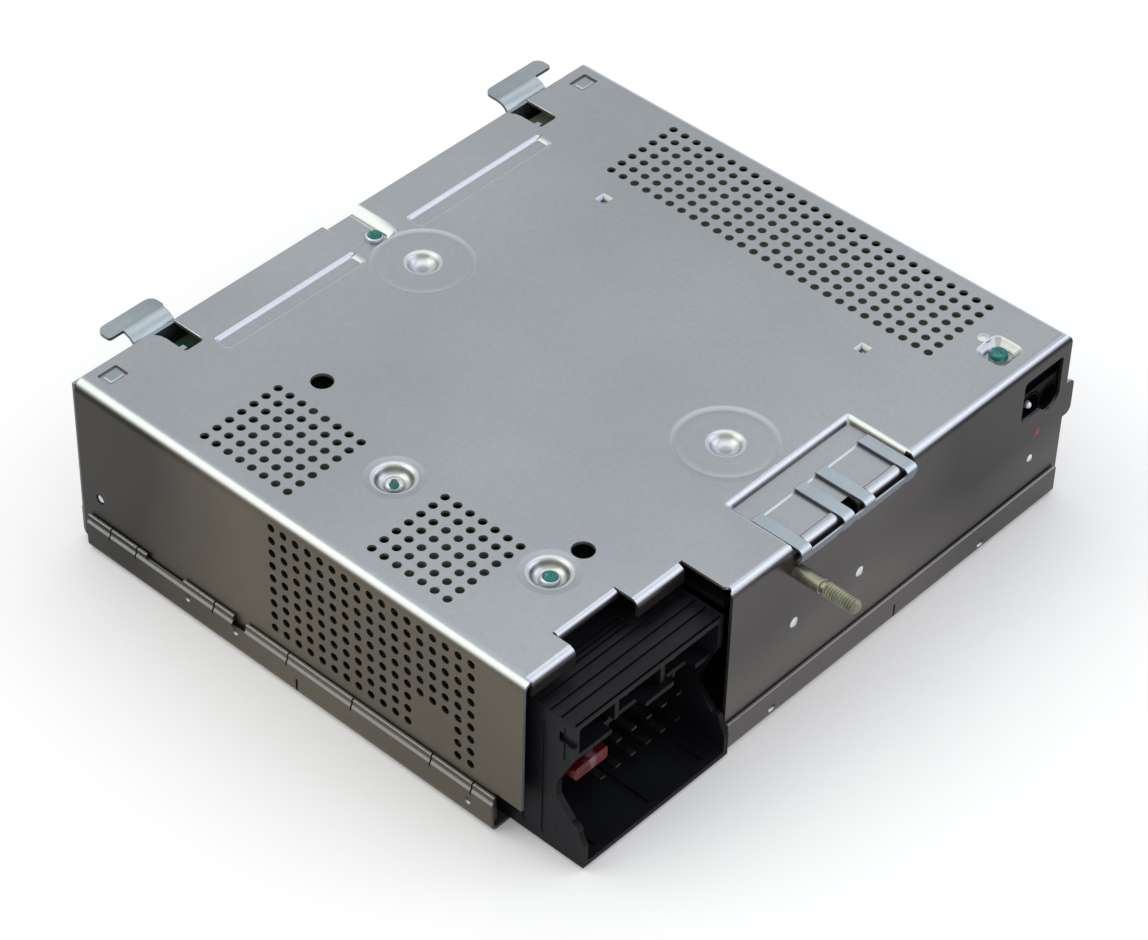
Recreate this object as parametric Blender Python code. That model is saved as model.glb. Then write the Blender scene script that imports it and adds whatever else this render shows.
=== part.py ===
# Hidden car radio tuner box, 1-DIN body: folded steel cover and tray, hook frame,
# plug header with a blade fuse, twin aerial socket, earth stud and spring clip.
# Metres, +Z up. The origin is the middle of the box's underside; the plug header faces -Y.
# Insets are measured inwards from the box's left, right, front or rear face, drops from its top.

import math

import bmesh
import bpy

# Whole box
BOX_WIDTH = 0.182
BOX_FRONT_Y = 0.0803
BOX_REAR_Y = -0.0811
BOX_HEIGHT = 0.0515
SHEET = 0.0008
BEND_RADIUS = 0.0026
SEAT_GAP = 0.0003
OVERRUN = 0.002
BEND_STEPS = 5

# Cover: walls, rear flange and the steps round the plug header
LEFT_WALL_END_REAR_INSET = 0.0137
LEFT_WALL_FOOT_GAP = 0.0007
LEFT_WALL_FOOT_REAR_INSET = 0.0221
CORNER_SLIT = 0.0004
CORNER_STRIP = 0.0026
FLANGE_HEADER_GAP = 0.00065
LIP_REAR_INSET = 0.0135
LIP_DROP = 0.0047
LIP_RADIUS = 0.0022
LIP_A_INSETS = (0.00265, 0.0168)
LIP_B_INSETS = (0.0375, 0.0534)
STEP_INSETS = (0.0174, 0.0371)
STEP_REAR_INSET = 0.0192
STEP_DROP = 0.0018
STEP_RADIUS = 0.0016
LIP_ROOT = 0.006

# Vent fields: square holes on one pitch, each field given by its first hole
VENT_PITCH = 0.004
VENT_HOLE = 0.0021
VENT_RIGHT_INSETS = (0.03055, 0.0362)
VENT_RIGHT_COUNTS = (7, 27)
VENT_LEFT_INSET = 0.00845
VENT_LEFT_FRONT_INSET = 0.0367
VENT_LEFT_FRONT_COUNTS = (7, 8)
VENT_LEFT_REAR_INSET = 0.0692
VENT_LEFT_REAR_COUNTS = (7, 7)
VENT_SIDE_REAR_INSET = 0.0937
VENT_SIDE_DROP = 0.004
VENT_SIDE_COUNTS = (17, 9)
VENT_SIDE_BLANK_COLUMN_NUMBERS = (12, 13, 14)
VENT_SIDE_BLANK_ROW_NUMBERS = (6, 7, 8)

# Cover: pressed features
LOCATING_HOLE_RADIUS = 0.003
LOCATING_HOLE_LEFT_INSET = 0.04155
LOCATING_HOLE_FRONT_INSET = 0.0424
LOCATING_HOLE_REAR_INSET = 0.0341
DIMPLE_RADIUS = 0.0071
DIMPLE_DEPTH = 0.0026
DIMPLE_FLOOR_RADIUS = 0.0052
DISH_RADIUS = 0.00485
DISH_FLOOR_RADIUS = 0.0032
DISH_FRONT_INSET = 0.0279
DISH_REAR_X = 0.00105
DISH_REAR_INSET = 0.0348
POCKET_DEPTH = 0.002
FRONT_POCKET_REACH = (0.00725, 0.00385)
FRONT_POCKET_INSET = 0.0148
FRONT_POCKET_SLOPE = 0.0012
REAR_POCKET_REACH = 0.0045
CLIP_POCKET_SIDE_GAP = 0.0015
CLIP_POCKET_REAR_INSET = 0.0211
CLIP_WINDOW_HALF = 0.0019
CLIP_WINDOW_REAR_INSET = 0.0036
CLIP_WINDOW_FOOT = 0.0045
GROOVE_DEPTH = 0.0009
GROOVE_FRONT_INSETS = (0.0176, 0.0122)
GROOVE_LEFT_INSET = 0.0340
GROOVE_RIGHT_INSET = 0.0326
GROOVE_POCKET_GAPS = (0.0020, 0.0043)
HOOK_SLOT_FRONT_INSET = 0.0109
HOOK_SLOT_LEFT_INSETS = (0.0253, 0.0324)
HOOK_SLOT_RIGHT_INSETS = (0.0311, 0.0238)
TAB_WINDOW_LEFT_INSETS = (0.0054, 0.0112)
TAB_WINDOW_LEFT_FRONT_INSETS = (0.0070, 0.0027)
TAB_WINDOW_RIGHT_INSETS = (0.0107, 0.0048)
TAB_WINDOW_RIGHT_FRONT_INSETS = (0.0077, 0.0033)
SIDE_HOLE_RADIUS = 0.0014
SIDE_HOLE_FRONT_INSET = 0.0064
SIDE_HOLE_Z = 0.0174
FLANGE_HOLES = ((-0.0127, 0.0257), (0.0115, 0.0256))
EAR_REACH = 0.0032
EAR_Z = (0.0245, 0.0355)
EAR_ROOT = 0.004
AERIAL_OPENING_INSETS = (0.0184, 0.0030)
AERIAL_OPENING_DROPS = (0.0180, 0.0052)
AERIAL_LOBE_RADIUS = 0.0039

# Cover screws, the posts that they reach, and the spacers between
SCREW_HEAD_RADIUS = 0.00235
SCREW_HEAD_HEIGHT = 0.0014
SCREW_HEAD_SIDE_SHARE = 0.6
SCREW_HEAD_CROWN_SHARE = 0.7
SCREW_RADIUS = 0.00145
SCREW_LENGTH = 0.012
SCREW_SHORT = 0.005
SCREW_HOLE_RADIUS = 0.0019
SCREW_LEFT_FRONT_INSET = 0.02915
SCREW_LEFT_FRONT_REAR_INSET = 0.0825
SCREW_LEFT_REAR_INSET = 0.03095
SCREW_LEFT_REAR_REAR_INSET = 0.0347
SCREW_FRONT_X = -0.00015
SCREW_FRONT_INSET = 0.0107
SCREW_REAR_RIGHT_INSET = 0.0179
SCREW_REAR_INSET = 0.0093
POST_RADIUS = 0.0035
POST_BORE_DEPTH = 0.0125
POST_STUB_RADIUS = 0.0016
SPACER_RADIUS = 0.0032

# Tray
TRAY_JOGGLE = 0.0006
TRAY_SIDE_TOP_Z = 0.0108
TRAY_SHOULDER_TOP_Z = 0.0094
TRAY_SHOULDER_Z = 0.0086
TRAY_END_LIP_TOP_Z = 0.0093
TRAY_BEND_RADIUS = 0.0022
TRAY_SHOULDER_RADIUS = 0.001
TRAY_SIDE_FRONT_INSET = 0.0026
TRAY_SIDE_REAR_INSET = 0.0021
TRAY_CORNER_REAR_INSET = 0.0214
TRAY_END_ROOT = 0.008
TRAY_END_INSET = 0.0012
FINGER_SLIT = 0.0007
FINGER_SLIT_Z = 0.0078
FINGER_SLIT_FRONT_INSETS = (0.0095, 0.0195, 0.0514, 0.0944, 0.1202, 0.1332)
LOW_LIP_FRONT_INSETS = (0.0366, 0.0235)
TRAY_SLOT_Z = 0.0055
TRAY_SLOT_LEFT_FRONT_INSET = 0.0763
TRAY_SLOT_REAR_X = 0.0257

# Hook frame across the front
FRAME_SHEET = 0.0009
FRAME_TOP_DROP = 0.0013
FRAME_INSET = 0.0005
HOOK_RADIUS = 0.0049
HOOK_UNDER_DROP = 0.0004
HOOK_TIP_REACH = 0.0101
HOOK_ROOT_DROP = 0.0075
HOOK_TONGUE_REACH = 0.0050
HOOK_CORNER = 0.0022
HOOK_LEFT_WEB_INSETS = (0.0208, 0.0340)
HOOK_LEFT_TONGUE_INSETS = (0.0163, 0.0345)
HOOK_RIGHT_WEB_INSETS = (0.0295, 0.0150)
HOOK_RIGHT_TONGUE_INSETS = (0.0295, 0.0088)
FRAME_TAB_DEPTH = 0.0115
FRAME_TAB_LEFT_INSETS = (0.0030, 0.0145)
FRAME_TAB_RIGHT_INSETS = (0.0135, 0.0030)
FRAME_MIDDLE_TAB_REACH = (0.0060, 0.0030)
FRAME_MIDDLE_TAB_DEPTH = 0.0165
FRAME_SIDE_BOTTOM_Z = 0.0125
FRAME_SIDE_TOP_DROP = 0.0095
FRAME_SIDE_DEPTH = 0.012

# Main board, hung just under the cover
BOARD = 0.0016
BOARD_DROP = 0.0073
BOARD_INSET = 0.0028
BOARD_FRONT_INSET = 0.0013
BOARD_STUD_GAP = 0.0007
BOARD_NOTCH_GAP = 0.0015
BOARD_NOTCH_REAR_INSET = 0.0226
BOARD_AERIAL_GAPS = (0.0012, 0.0015)

# Plug header
HEADER_LEFT_INSETS = (0.00405, 0.0540)
HEADER_BACK_REAR_INSET = 0.0276
HEADER_WALL = 0.0018
HEADER_TOP_REAR_INSET = 0.0018
HEADER_FOOT_REACH = 0.0019
HEADER_RIB = 0.0005
HEADER_RIB_SETBACKS = (0.0103, 0.0067, 0.0034)
HEADER_RIB_WIDTH = 0.0014
HEADER_NOSE_WIDTH = 0.0010
SIDE_RECESS_REAR_INSET = 0.0069
SIDE_RECESS_SHARES = (0.780, 0.502, 0.409)
NOSE_SHARE = 0.255
NOSE_SETBACK = 0.0018
NOSE_RADIUS = 0.0013
CHAMBER_HEIGHT = 0.0102
SHELF_THICK = 0.0014
SHELF_REAR_INSET = 0.0036
SHELF_NOTCH = 0.0026
SHELF_NOTCH_SHARES = ((0.289, 0.520), (0.710, 0.860))
DIVIDER_SHARES = (0.339, 0.650)
DIVIDER_THICK = 0.0012
DIVIDER_REAR_INSET = 0.0046

# Contact blocks inside the header
BLOCK_FRONT_REAR_INSET = 0.0219
BLOCK_BACK_SETBACK = 0.0010
BLADE_LENGTH = 0.0133
BLADE_WIDTH = 0.0020
BLADE_THICK = 0.0008
BLADE_START_SETBACK = 0.01795
BLADE_PITCH = 0.0052
BLADE_COUNT = 6
BLADE_ROW_HEIGHTS = (0.0084, 0.0169)
PIN_LENGTH = 0.0108
PIN_WIDTH = 0.0006
PIN_PITCH = 0.0028
PIN_COUNT = 4
PIN_ROW_HEIGHTS = (0.0045, 0.0085)
TAIL_WIDTH = 0.0012
TAIL_COUNT = 5

# Blade fuse
FUSE_SETBACK = 0.00275
FUSE_WIDTH = 0.0109
FUSE_SHELF_DROPS = (0.0072, 0.0034)
FUSE_REAR_INSETS = (0.0039, 0.0131)
FUSE_EDGE = 0.0005
FUSE_HOLDER_RIM = 0.0011
FUSE_BLADE_THICK = 0.0007
FUSE_BLADE_WIDTH = 0.0027
FUSE_BLADE_EDGE = 0.0010
FUSE_BRIDGE_DEPTH = 0.0037
FUSE_BRIDGE = 0.0016
FUSE_BLADE_LENGTH = 0.0075

# Twin aerial socket
AERIAL_BACK_REAR_INSET = 0.0186
AERIAL_INSET = 0.0003
AERIAL_BORE_INSETS = (0.0140, 0.0068)
AERIAL_BORE_DROPS = (0.0153, 0.0163)
AERIAL_BORE_RADIUS = 0.0032
AERIAL_BORE_DEPTH = 0.010
AERIAL_BODY_DROPS = (0.0205, 0.0055)
AERIAL_BOSS_RADIUS = 0.0034
AERIAL_PIN_RADIUS = 0.0008
AERIAL_PIN_TIP_SHARE = 0.5
AERIAL_PIN_REACH = 0.0045
AERIAL_PIN_CONE = 0.0009
AERIAL_PIN_TAIL = 0.006
AERIAL_PIN_COLLAR = 0.0014

# Earth stud
STUD_X = -0.0134
STUD_DROP = 0.0085
STUD_RADIUS = 0.0020
STUD_REACH = 0.0182
STUD_GROOVE_REACH = 0.0084
STUD_GROOVE = 0.0012
STUD_GROOVE_RADIUS = 0.0016
STUD_CHAMFER = 0.0005
STUD_COLLAR_RADIUS = 0.0036
STUD_COLLAR = 0.0015

# Spring clip over the rear edge
CLIP_SHEET = 0.0005
CLIP_TIP_REAR_INSET = 0.0139
CLIP_BEND_REACH = 0.0023
CLIP_FOOT_REACH = 0.0009
CLIP_STUD_GAP = 0.0005
CLIP_BAR_DROP = 0.0016
CLIP_RADIUS = 0.0012
CLIP_FINGER = 0.0036
CLIP_MIDDLE_X = 0.0070
CLIP_FINGER_OFFSETS = (-0.0193, -0.0038, 0.0038, 0.0193)

# Heat sink and amplifier behind the side vents
SINK_INSETS = (0.0015, 0.0120)
SINK_PLATE = 0.003
SINK_REAR_INSETS = (0.0351, 0.0951)
SINK_FIN_COUNT = 7
SINK_FIN = 0.0018
AMP_THICK = 0.0044
AMP_SINK_INSETS = (0.0160, 0.0400)
AMP_BOARD_DROPS = (0.0219, 0.0049)
AMP_LEAD = 0.0006
AMP_LEAD_INSET = 0.002
CLAMP_AMP_HEIGHTS = (0.0050, 0.0120)
CLAMP_FOOT = 0.008
CLAMP_RUN_IN = 0.0035
CLAMP_RADIUS = 0.0013
CLAMP_SCREW_HEAD = 0.0016
CLAMP_SCREW_LENGTH = 0.003

# Tuner module under the board
CAN_PLACE_SHARES = (0.582, 0.645)
CAN_SIZE = (0.050, 0.038)
CAN_DEPTH = 0.0095
CAN_WALL = 0.0006
CAN_PARTITION_SHARE = 0.42
CAN_LID_LIP = 0.0022
TUNER_CHIP_CORNER_SHARES = (0.68, 0.50)
TUNER_CHIP_SIZE = (0.0100, 0.0100, 0.0012)

# Parts hanging from the board: places as shares of the board, then size x, size y, height
PROCESSOR_PLACE_SHARES = (0.055, 0.577)
PROCESSOR = (0.0240, 0.0240, 0.0016)
SOUND_CHIP_PLACE_SHARES = (-0.297, 0.379)
SOUND_CHIP = (0.0160, 0.0160, 0.0014)
MEMORY_CHIP_PLACE_SHARES = (-0.308, 0.602)
MEMORY_CHIP = (0.0120, 0.0200, 0.0012)
CHOKE_HEADER_GAP = 0.0100
CHOKE_REAR_INSET = 0.0191
POWER_CHOKE = (0.0180, 0.0180, 0.0100)
CRYSTAL_PLACE_SHARES = (0.308, 0.428)
CRYSTAL = (0.0110, 0.0046, 0.0036)
REGULATOR_PLACE_SHARES = (0.220, 0.156)
REGULATOR = (0.0102, 0.0092, 0.0045)
CHIP_LEADS = 0.0015
CHIP_LEAD_THICK = 0.0003
CHIP_EDGE = 0.0004
CAPACITOR_PLACE_SHARES = {
    "capacitor_supply": (-0.549, 0.348),
    "capacitor_left": (-0.484, 0.812),
    "capacitor_middle": (-0.308, 0.812),
    "capacitor_right": (0.495, 0.205),
}
CAPACITOR_SIZES = {
    "capacitor_supply": (0.0080, 0.0300),
    "capacitor_left": (0.0063, 0.0200),
    "capacitor_middle": (0.0063, 0.0200),
    "capacitor_right": (0.0050, 0.0160),
}
CAPACITOR_CRIMP = 0.0008
CAPACITOR_CRIMP_AT = 0.0025


# Places worked out from the sizes

HALF = BOX_WIDTH / 2


def from_left(*insets):
    return tuple(-HALF + inset for inset in insets)


def from_right(*insets):
    return tuple(HALF - inset for inset in insets)


def from_rear(*insets):
    return tuple(BOX_REAR_Y + inset for inset in insets)


def from_front(*insets):
    return tuple(BOX_FRONT_Y - inset for inset in insets)


def on_board(shares):
    """A place on the board, as shares of the box's half width and of its depth from the rear."""
    return HALF * shares[0], BOX_REAR_Y + (BOX_FRONT_Y - BOX_REAR_Y) * shares[1]


def below(top, drops):
    return tuple(top - drop for drop in drops)


COVER_WALL_BOTTOM_Z = TRAY_BEND_RADIUS
LEFT_WALL_FOOT_Z = TRAY_SIDE_TOP_Z + LEFT_WALL_FOOT_GAP
LEFT_WALL_END_Y, LEFT_WALL_FOOT_Y = from_rear(LEFT_WALL_END_REAR_INSET, LEFT_WALL_FOOT_REAR_INSET)
LIP_Y, STEP_Y = from_rear(LIP_REAR_INSET, STEP_REAR_INSET)
LIP_A_X = from_left(*LIP_A_INSETS)
LIP_B_X = from_left(*LIP_B_INSETS)
STEP_X = from_left(*STEP_INSETS)
HEADER_X = from_left(*HEADER_LEFT_INSETS)
FLANGE_LEFT_X = HEADER_X[1] + FLANGE_HEADER_GAP

SCREW_LEFT_FRONT = (*from_left(SCREW_LEFT_FRONT_INSET), *from_rear(SCREW_LEFT_FRONT_REAR_INSET))
SCREW_LEFT_REAR = (*from_left(SCREW_LEFT_REAR_INSET), *from_rear(SCREW_LEFT_REAR_REAR_INSET))
SCREW_FRONT = (SCREW_FRONT_X, *from_front(SCREW_FRONT_INSET))
SCREW_REAR = (*from_right(SCREW_REAR_RIGHT_INSET), *from_rear(SCREW_REAR_INSET))
DISHES = ((SCREW_FRONT_X, *from_front(DISH_FRONT_INSET)), (DISH_REAR_X, *from_rear(DISH_REAR_INSET)))
FRONT_POCKET_X = (SCREW_FRONT_X - FRONT_POCKET_REACH[0], SCREW_FRONT_X + FRONT_POCKET_REACH[1])
FRONT_POCKET_Y = from_front(FRONT_POCKET_INSET)[0]
REAR_POCKET_X = (SCREW_REAR[0] - REAR_POCKET_REACH, SCREW_REAR[0] + REAR_POCKET_REACH)
REAR_POCKET_Y = (SCREW_REAR[1] - REAR_POCKET_REACH, SCREW_REAR[1] + REAR_POCKET_REACH)
CLIP_POCKET_REACH = CLIP_FINGER / 2 + CLIP_POCKET_SIDE_GAP
CLIP_POCKET_X = (CLIP_MIDDLE_X + CLIP_FINGER_OFFSETS[0] - CLIP_POCKET_REACH,
                 CLIP_MIDDLE_X + CLIP_FINGER_OFFSETS[-1] + CLIP_POCKET_REACH)
CLIP_WINDOW_X = (CLIP_MIDDLE_X - CLIP_WINDOW_HALF, CLIP_MIDDLE_X + CLIP_WINDOW_HALF)
CLIP_POCKET_Y, CLIP_WINDOW_Y = from_rear(CLIP_POCKET_REAR_INSET, CLIP_WINDOW_REAR_INSET)
GROOVE_Y = from_front(*GROOVE_FRONT_INSETS)
GROOVE_LEFT_X = (*from_left(GROOVE_LEFT_INSET), FRONT_POCKET_X[0] - GROOVE_POCKET_GAPS[0])
GROOVE_RIGHT_START_X = FRONT_POCKET_X[1] + FRONT_POCKET_SLOPE + GROOVE_POCKET_GAPS[1]
GROOVE_RIGHT_X = (GROOVE_RIGHT_START_X, *from_right(GROOVE_RIGHT_INSET))
HOOK_SLOT_Y = from_front(HOOK_SLOT_FRONT_INSET)[0]
HOOK_SLOT_LEFT_X = from_left(*HOOK_SLOT_LEFT_INSETS)
HOOK_SLOT_RIGHT_X = from_right(*HOOK_SLOT_RIGHT_INSETS)
TAB_WINDOW_LEFT = (*from_left(*TAB_WINDOW_LEFT_INSETS), *from_front(*TAB_WINDOW_LEFT_FRONT_INSETS))
TAB_WINDOW_RIGHT = (*from_right(*TAB_WINDOW_RIGHT_INSETS), *from_front(*TAB_WINDOW_RIGHT_FRONT_INSETS))
AERIAL_OPENING_X = from_right(*AERIAL_OPENING_INSETS)
AERIAL_OPENING_Z = below(BOX_HEIGHT, AERIAL_OPENING_DROPS)
AERIAL_BORES = tuple(zip(from_right(*AERIAL_BORE_INSETS), below(BOX_HEIGHT, AERIAL_BORE_DROPS)))
AERIAL_BODY_Z = below(BOX_HEIGHT, AERIAL_BODY_DROPS)
AERIAL_BACK_Y = from_rear(AERIAL_BACK_REAR_INSET)[0]

FRAME_Y = BOX_FRONT_Y + SEAT_GAP + FRAME_SHEET
TRAY_LIP_X = HALF + SEAT_GAP + SHEET
TRAY_WALL_X = TRAY_LIP_X + TRAY_JOGGLE
TRAY_FRONT_Y = FRAME_Y + SEAT_GAP + SHEET
TRAY_REAR_Y = BOX_REAR_Y - SEAT_GAP - SHEET
TRAY_SIDE_FRONT_Y = from_front(TRAY_SIDE_FRONT_INSET)[0]
TRAY_SIDE_REAR_Y, TRAY_CORNER_Y = from_rear(TRAY_SIDE_REAR_INSET, TRAY_CORNER_REAR_INSET)
LOW_LIP_Y = from_front(*LOW_LIP_FRONT_INSETS)

BOARD_Z = BOX_HEIGHT - BOARD_DROP
BOARD_TOP_Z = BOARD_Z + BOARD
UNDER_BOARD_Z = BOARD_Z - SEAT_GAP
BOARD_X = HALF - BOARD_INSET
BOARD_FRONT_Y = from_front(BOARD_FRONT_INSET)[0]
STUD_SEAT_Y = BOX_REAR_Y + SHEET + SEAT_GAP
BOARD_REAR_Y = STUD_SEAT_Y + STUD_COLLAR + BOARD_STUD_GAP

HEADER_BOTTOM_Z = SHEET + SEAT_GAP
HEADER_WIDTH = HEADER_X[1] - HEADER_X[0]
HEADER_HEIGHT = UNDER_BOARD_Z - HEADER_BOTTOM_Z
HEADER_FOOT_Y = BOX_REAR_Y - HEADER_FOOT_REACH
HEADER_BACK_Y, HEADER_TOP_Y = from_rear(HEADER_BACK_REAR_INSET, HEADER_TOP_REAR_INSET)
SHELF_Z = UNDER_BOARD_Z - HEADER_WALL - CHAMBER_HEIGHT - SHELF_THICK
SHELF_FRONT_Y, DIVIDER_FRONT_Y = from_rear(SHELF_REAR_INSET, DIVIDER_REAR_INSET)
BLOCK_FRONT_Y = from_rear(BLOCK_FRONT_REAR_INSET)[0]
BLOCK_BACK_Y = HEADER_BACK_Y - BLOCK_BACK_SETBACK
FUSE_X = (HEADER_X[0] + FUSE_SETBACK, HEADER_X[0] + FUSE_SETBACK + FUSE_WIDTH)
FUSE_Z = below(SHELF_Z, FUSE_SHELF_DROPS)
FUSE_FRONT_Y, FUSE_BACK_Y = from_rear(*FUSE_REAR_INSETS)
FUSE_BRIDGE_Y = FUSE_FRONT_Y + FUSE_BRIDGE_DEPTH
FUSE_BLADE_TIP_Y = FUSE_BACK_Y + FUSE_BLADE_LENGTH

STUD_Z = BOX_HEIGHT - STUD_DROP
CLIP_TOP_Z = BOX_HEIGHT - POCKET_DEPTH + SEAT_GAP + CLIP_SHEET
CLIP_FOOT_Z = STUD_Z + STUD_RADIUS + CLIP_STUD_GAP
CLIP_BAR_TOP_Z = CLIP_TOP_Z - CLIP_BAR_DROP

SINK_X = from_left(*SINK_INSETS)
SINK_Y = from_rear(*SINK_REAR_INSETS)
AMP_Y = (SINK_Y[0] + AMP_SINK_INSETS[0], SINK_Y[0] + AMP_SINK_INSETS[1])
AMP_Z = below(UNDER_BOARD_Z, AMP_BOARD_DROPS)
CLAMP_Z = (AMP_Z[0] + CLAMP_AMP_HEIGHTS[0], AMP_Z[0] + CLAMP_AMP_HEIGHTS[1])
CAN_MIDDLE = on_board(CAN_PLACE_SHARES)
CAN_X = (CAN_MIDDLE[0] - CAN_SIZE[0] / 2, CAN_MIDDLE[0] + CAN_SIZE[0] / 2)
CAN_Y = (CAN_MIDDLE[1] - CAN_SIZE[1] / 2, CAN_MIDDLE[1] + CAN_SIZE[1] / 2)


# Helpers: outlines, solids and Booleans

def arc(centre, radius, start, end, steps):
    """Points of an arc, angles in degrees."""
    points = []
    for i in range(steps + 1):
        angle = math.radians(start + (end - start) * i / steps)
        points.append((centre[0] + radius * math.cos(angle), centre[1] + radius * math.sin(angle)))
    return points


def circle(centre, radius, sides):
    return arc(centre, radius, 180 / sides, 360 + 180 / sides, sides)[:-1]


def rectangle(low, high):
    return [(low[0], low[1]), (high[0], low[1]), (high[0], high[1]), (low[0], high[1])]


def bent_sheet(path, thickness, radii):
    """Outline of a folded sheet: the path is one face, the metal lies to its left, one outer radius per bend."""
    near = [path[0]]
    far = []
    for i in range(1, len(path)):
        before, here = path[i - 1], path[i]
        run = math.hypot(here[0] - before[0], here[1] - before[1])
        go = ((here[0] - before[0]) / run, (here[1] - before[1]) / run)
        left = (-go[1] * thickness, go[0] * thickness)
        if i == 1:
            far.append((before[0] + left[0], before[1] + left[1]))
        if i == len(path) - 1:
            near.append(here)
            far.append((here[0] + left[0], here[1] + left[1]))
            continue
        after = path[i + 1]
        radius = radii[i - 1]
        next_run = math.hypot(after[0] - here[0], after[1] - here[1])
        turn_to = ((after[0] - here[0]) / next_run, (after[1] - here[1]) / next_run)
        turn = math.atan2(go[0] * turn_to[1] - go[1] * turn_to[0], go[0] * turn_to[0] + go[1] * turn_to[1])
        side = 1 if turn > 0 else -1
        near_radius = radius if turn > 0 else radius - thickness
        far_radius = radius - thickness if turn > 0 else radius
        back = near_radius * math.tan(abs(turn) / 2)
        start = (here[0] - go[0] * back, here[1] - go[1] * back)
        centre = (start[0] - go[1] * near_radius * side, start[1] + go[0] * near_radius * side)
        first = math.degrees(math.atan2(start[1] - centre[1], start[0] - centre[0]))
        last = first + math.degrees(turn)
        steps = max(2, round(BEND_STEPS * abs(turn) / (math.pi / 2)))
        near += arc(centre, near_radius, first, last, steps)
        far += arc(centre, far_radius, first, last, steps)
    return near + far[::-1]


def add_prism(bm, outline, axis, low, high):
    """Extrude an outline between two places on an axis."""
    place = {
        "x": lambda p, d: (d, p[0], p[1]),
        "y": lambda p, d: (p[0], d, p[1]),
        "z": lambda p, d: (p[0], p[1], d),
    }[axis]
    first = [bm.verts.new(place(p, low)) for p in outline]
    last = [bm.verts.new(place(p, high)) for p in outline]
    count = len(outline)
    for i in range(count):
        bm.faces.new((first[i], first[(i + 1) % count], last[(i + 1) % count], last[i]))
    bm.faces.new(first[::-1])
    bm.faces.new(last)


def add_box(bm, low, high):
    add_prism(bm, rectangle(low, high), "z", low[2], high[2])


def add_lathe(bm, profile, centre, axis, sides):
    """Turn (radius, place along the axis) pairs round an axis through the centre; ends are closed."""
    place = {
        "x": lambda u, v, d: (d, centre[0] + u, centre[1] + v),
        "y": lambda u, v, d: (centre[0] + u, d, centre[1] + v),
        "z": lambda u, v, d: (centre[0] + u, centre[1] + v, d),
    }[axis]
    rings = []
    for radius, along in profile:
        rings.append([bm.verts.new(place(u, v, along)) for u, v in circle((0, 0), radius, sides)])
    for lower, upper in zip(rings, rings[1:]):
        for i in range(sides):
            bm.faces.new((lower[i], lower[(i + 1) % sides], upper[(i + 1) % sides], upper[i]))
    bm.faces.new(rings[0][::-1])
    bm.faces.new(rings[-1])


def add_stack(bm, middle, levels):
    """Skin a stack of rectangles: each level is z, half size x, half size y."""
    rings = []
    for z, half_x, half_y in levels:
        low = (middle[0] - half_x, middle[1] - half_y)
        high = (middle[0] + half_x, middle[1] + half_y)
        rings.append([bm.verts.new((x, y, z)) for x, y in rectangle(low, high)])
    for lower, upper in zip(rings, rings[1:]):
        for i in range(4):
            bm.faces.new((lower[i], lower[(i + 1) % 4], upper[(i + 1) % 4], upper[i]))
    bm.faces.new(rings[0][::-1])
    bm.faces.new(rings[-1])


def make_object(name, bm, material=None):
    bmesh.ops.recalc_face_normals(bm, faces=bm.faces)
    mesh = bpy.data.meshes.new(name)
    bm.to_mesh(mesh)
    bm.free()
    piece = bpy.data.objects.new(name, mesh)
    bpy.context.scene.collection.objects.link(piece)
    if material:
        mesh.materials.append(material)
    return piece


def combine(piece, bm, operation):
    """Apply one Boolean with a throw-away tool object."""
    tool = make_object("tool", bm)
    modifier = piece.modifiers.new("combine", "BOOLEAN")
    modifier.operation = operation
    modifier.solver = "EXACT"
    modifier.object = tool
    bpy.context.view_layer.objects.active = piece
    bpy.ops.object.modifier_apply(modifier=modifier.name)
    bpy.data.objects.remove(tool, do_unlink=True)


def join(piece, bm):
    combine(piece, bm, "UNION")


def cut(piece, bm):
    combine(piece, bm, "DIFFERENCE")


def shade(piece):
    piece.data.shade_smooth()
    piece.data.set_sharp_from_angle(angle=math.radians(32))


def make_material(name, colour, roughness, metallic):
    material = bpy.data.materials.new(name)
    material.use_nodes = True
    shader = material.node_tree.nodes["Principled BSDF"]
    shader.inputs["Base Color"].default_value = (*colour, 1.0)
    shader.inputs["Roughness"].default_value = roughness
    shader.inputs["Metallic"].default_value = metallic
    return material


# Cover

def rear_fold(x_range, face_y, top_z, foot_z, radius, root):
    """A strip of top sheet folded down at the rear, as a solid along X."""
    bm = bmesh.new()
    path = [(face_y + root, top_z), (face_y, top_z), (face_y, foot_z)]
    add_prism(bm, bent_sheet(path, SHEET, [radius]), "x", x_range[0], x_range[1])
    return bm


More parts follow.
